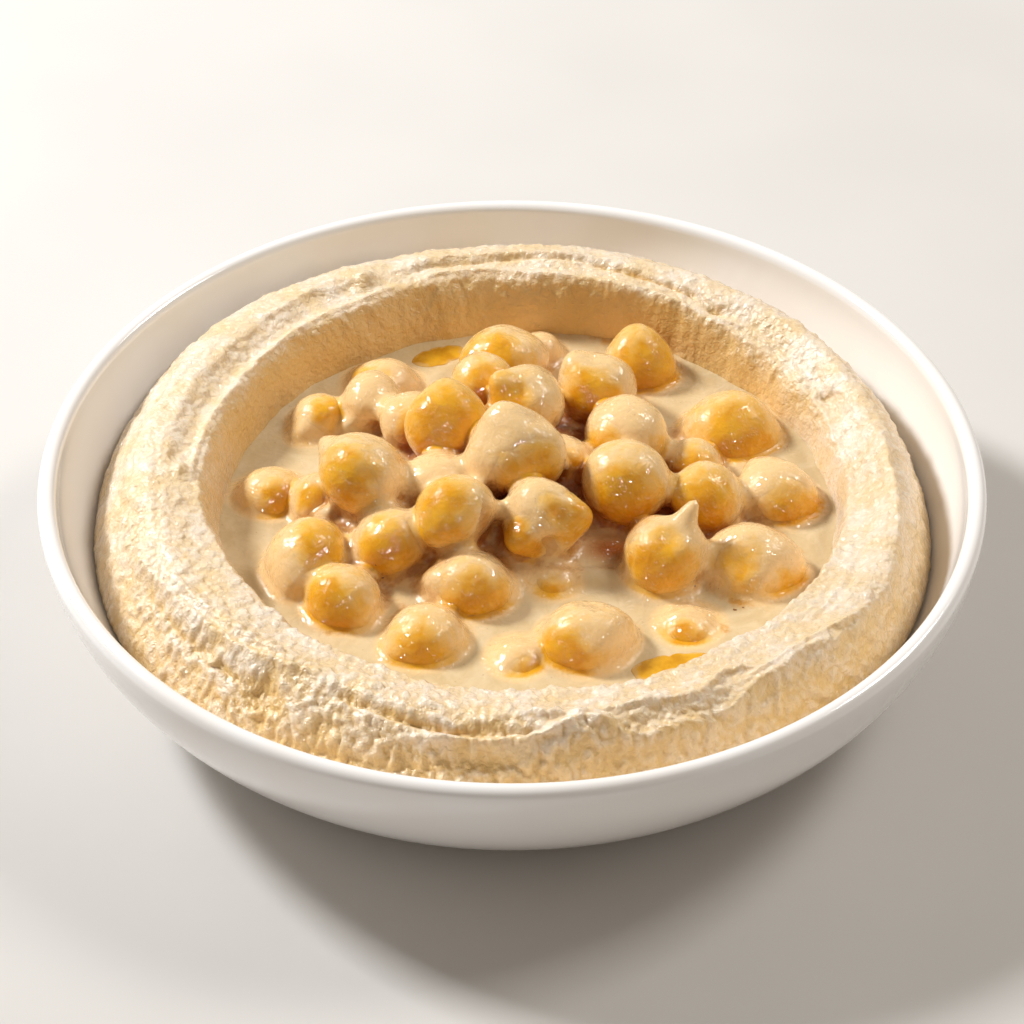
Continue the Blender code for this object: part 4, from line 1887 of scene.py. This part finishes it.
    def dress(self, sauce: Item) -> None:
        """Paint how the sauce lies over the nearest pea, paint shade in the gaps of the heap, and
        give it its finish.

        Args:
            sauce: The sauce.
        """
        points = mesh_points(sauce)
        film, cream = self.film(points)
        # Painted shade where the heap hides the sky, and in the shade patches.
        gap = ease(0.34, 0.86, self.heap.shelter(sauce, self.heap.solid_tree()))
        for shade in self.shades:
            gap = np.maximum(gap, shade.rise(points))
        oil = np.zeros(len(points))
        for stain in self.stains:
            oil = np.maximum(oil, stain.rise(points))
        paint(sauce, Layer.CREAM, np.maximum(cream, 0.95 * ease(0.2, 1.2, film)))
        paint(sauce, Layer.POOL, ease(0.7, 2.2, film) * (1.0 - gap))
        paint(sauce, Layer.CREVICE, gap)
        paint(sauce, Layer.OIL, oil * ease(0.2, 0.8, film))
        finished(sauce, SauceFinish().build(), ("tahini",))


# ---------------------------------------------------------------------- oil


@dataclass(frozen=True)
class OilPatch:
    """A thin lens of oil on the sauce, with its outline in millimetres, anticlockwise."""

    name: str
    outline: tuple[tuple[float, float], ...]
    thickness: float = 0.25
    cap: float = 0.5
    sides: int = 72
    rings: int = 16

    def build(self, sauce: Item) -> Item:
        """Model the patch on the surface of the sauce.

        Args:
            sauce: The finished sauce.

        Returns:
            The finished patch.
        """
        item = ball(self.name, self.sides, self.rings)
        unit = mesh_points(item) * MM
        edge = np.array(self.outline)
        middle = edge.mean(axis=0)
        spokes = edge - middle
        bearing = np.arctan2(spokes[:, 1], spokes[:, 0])
        order = np.argsort(bearing)
        reach = np.hypot(spokes[:, 0], spokes[:, 1])[order]
        angle = np.arctan2(unit[:, 1], unit[:, 0])
        radius = np.interp(angle, bearing[order], reach, period=2.0 * np.pi)
        radius *= 1.0 + 0.05 * grain(on_circle(angle, 6.0), 2.0, 2, 8.0)
        share = np.hypot(unit[:, 0], unit[:, 1])
        points = np.zeros_like(unit)
        points[:, 0] = middle[0] + share * radius * np.cos(angle)
        points[:, 1] = middle[1] + share * radius * np.sin(angle)
        tree = BVHTree.FromObject(sauce, bpy.context.evaluated_depsgraph_get())
        for index, (x, y, _) in enumerate(points):
            hit = below(tree, x, y)
            points[index, 2] = hit.z / MM if hit else POOL_LEVEL
        points[:, 2] = np.minimum(points[:, 2], np.median(points[:, 2]) + self.cap)
        points[:, 2] += self.thickness * unit[:, 2]
        move_points(item, points)
        paint(item, Layer.EDGE, share)
        finished(item, OilFinish().build())
        return item


@dataclass
class OilAndPeel:
    """The oil on the sauce, and small brown bits of chickpea peel."""

    patches: tuple[OilPatch, ...] = (
        OilPatch(
            "oil_patch_back",
            ((-17.4, 42.3), (-15.6, 41.0), (-13.0, 41.3), (-10.4, 42.6), (-8.2, 44.6), (-8.6, 46.6),
             (-12.0, 46.6), (-14.5, 45.6), (-16.6, 44.2)),
        ),
        OilPatch(
            "oil_patch_front",
            ((18.0, -36.2), (19.4, -38.6), (24.5, -38.0), (29.0, -35.8), (30.8, -32.6),
             (29.2, -32.2), (26.6, -32.6), (24.0, -33.1), (21.5, -33.6), (19.4, -34.6)),
        ),
    )
    specks: tuple[tuple[float, float, float], ...] = (
        (-21.1, -16.0, 0.50),
        (-20.3, -16.7, 0.30),
        (28.7, -17.7, 0.22),
        (34.7, -22.4, 0.34),
        (36.0, -21.8, 0.24),
    )

    def build(self, sauce: Item) -> None:
        """Model the oil and the bits of peel.

        Args:
            sauce: The finished sauce.
        """
        for patch in self.patches:
            patch.build(sauce)
        tree = BVHTree.FromObject(sauce, bpy.context.evaluated_depsgraph_get())
        bits = []
        for x, y, size in self.specks:
            deselect_all()
            bpy.ops.mesh.primitive_ico_sphere_add(
                subdivisions=2, radius=1.0, location=below(tree, x, y)
            )
            bit = bpy.context.object
            bit.scale = (size * MM, size * 0.6 * MM, size * 0.45 * MM)
            bit.rotation_euler = (0.2, 0.3, x + y)
            settle(bit)
            bits.append(bit)
        peel = join(bits)
        peel.name = "peel_bits"
        points = mesh_points(peel)
        points += 0.12 * grain(points, 0.5, 1, 9.0)[:, None]
        move_points(peel, points)
        finished(peel, PeelFinish().build())


# --------------------------------------------------------------------- studio


@dataclass(frozen=True)
class SoftLight:
    """A square soft light that faces the plate.

    Turn and tip say where it stands, in degrees, away how far, in metres. Size is the side
    of the square in metres, and power is in watts.
    """

    name: str
    turn: float
    tip: float
    away: float
    size: float
    power: float
    tint: Colour

    def build(self) -> None:
        """Add the light."""
        data = bpy.data.lights.new(self.name, "AREA")
        data.size = self.size
        data.energy = self.power
        data.color = self.tint
        item = bpy.data.objects.new(self.name, data)
        item.location = Vector(compass(self.turn, self.tip)) * self.away
        item.rotation_euler = item.location.to_track_quat("Z", "Y").to_euler()
        bpy.context.scene.collection.objects.link(item)


@dataclass
class Studio:
    """Pale floor, soft light and the camera."""

    rim_height: float
    distance: float = 453.0
    elevation: float = 38.6
    tilt: float = 39.55
    lens: float = 100.0
    sensor: float = 36.0
    floor_size: float = 6.0
    room: Colour = (1.0, 0.90, 0.79)
    room_light: float = 0.29
    lights: tuple[SoftLight, ...] = (
        SoftLight("window", WINDOW_TURN, WINDOW_TIP, 0.9, 0.15, 8.8, (0.98, 0.99, 1.0)),
        SoftLight("fill", 26.0, 48.0, 1.2, 0.34, 5.6, (1.0, 0.97, 0.93)),
    )

    def camera(self) -> None:
        """Place the camera."""
        rise = math.radians(self.elevation)
        data = bpy.data.cameras.new("camera")
        data.lens = self.lens
        data.sensor_width = self.sensor
        data.clip_start = 0.01
        item = bpy.data.objects.new("camera", data)
        item.location = Vector(
            (0.0, -math.cos(rise) * self.distance, math.sin(rise) * self.distance + self.rim_height)
        ) * MM
        item.rotation_euler = (math.radians(90.0 - self.tilt), 0.0, 0.0)
        bpy.context.scene.collection.objects.link(item)
        bpy.context.scene.camera = item

    def world(self) -> None:
        """Fill the room with even pale light."""
        world = bpy.data.worlds.new("studio")
        world.use_nodes = True
        background = world.node_tree.nodes["Background"]
        background.inputs["Color"].default_value = (*self.room, 1.0)
        background.inputs["Strength"].default_value = self.room_light
        bpy.context.scene.world = world

    def floor(self) -> None:
        """Add the pale floor."""
        deselect_all()
        bpy.ops.mesh.primitive_plane_add(size=self.floor_size)
        floor = bpy.context.object
        floor.name = "floor"
        floor.data.materials.append(FloorFinish().build())

    def build(self) -> None:
        """Set up the whole studio."""
        bpy.context.scene.view_settings.view_transform = "Standard"
        self.floor()
        self.world()
        self.camera()
        for light in self.lights:
            light.build()


def main() -> None:
    """Build every piece in order."""
    logging.basicConfig(level=logging.INFO, format="%(relativeCreated)6d ms  %(message)s")
    low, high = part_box("plate")
    plate = Plate(height=(high[2] - low[2]) / MM, radius=(high[0] - low[0]) / 2 / MM)
    plate.build()
    ring = HummusRing(plate=plate).build()
    heap = ChickpeaHeap()
    heap.build()
    pool = TahiniPool(heap=heap)
    sauce = pool.build(ring)
    pool.dress(sauce)
    heap.dress()
    OilAndPeel().build(sauce)
    Studio(rim_height=plate.height - plate.lip / 2).build()


if __name__ == "__main__":
    main()
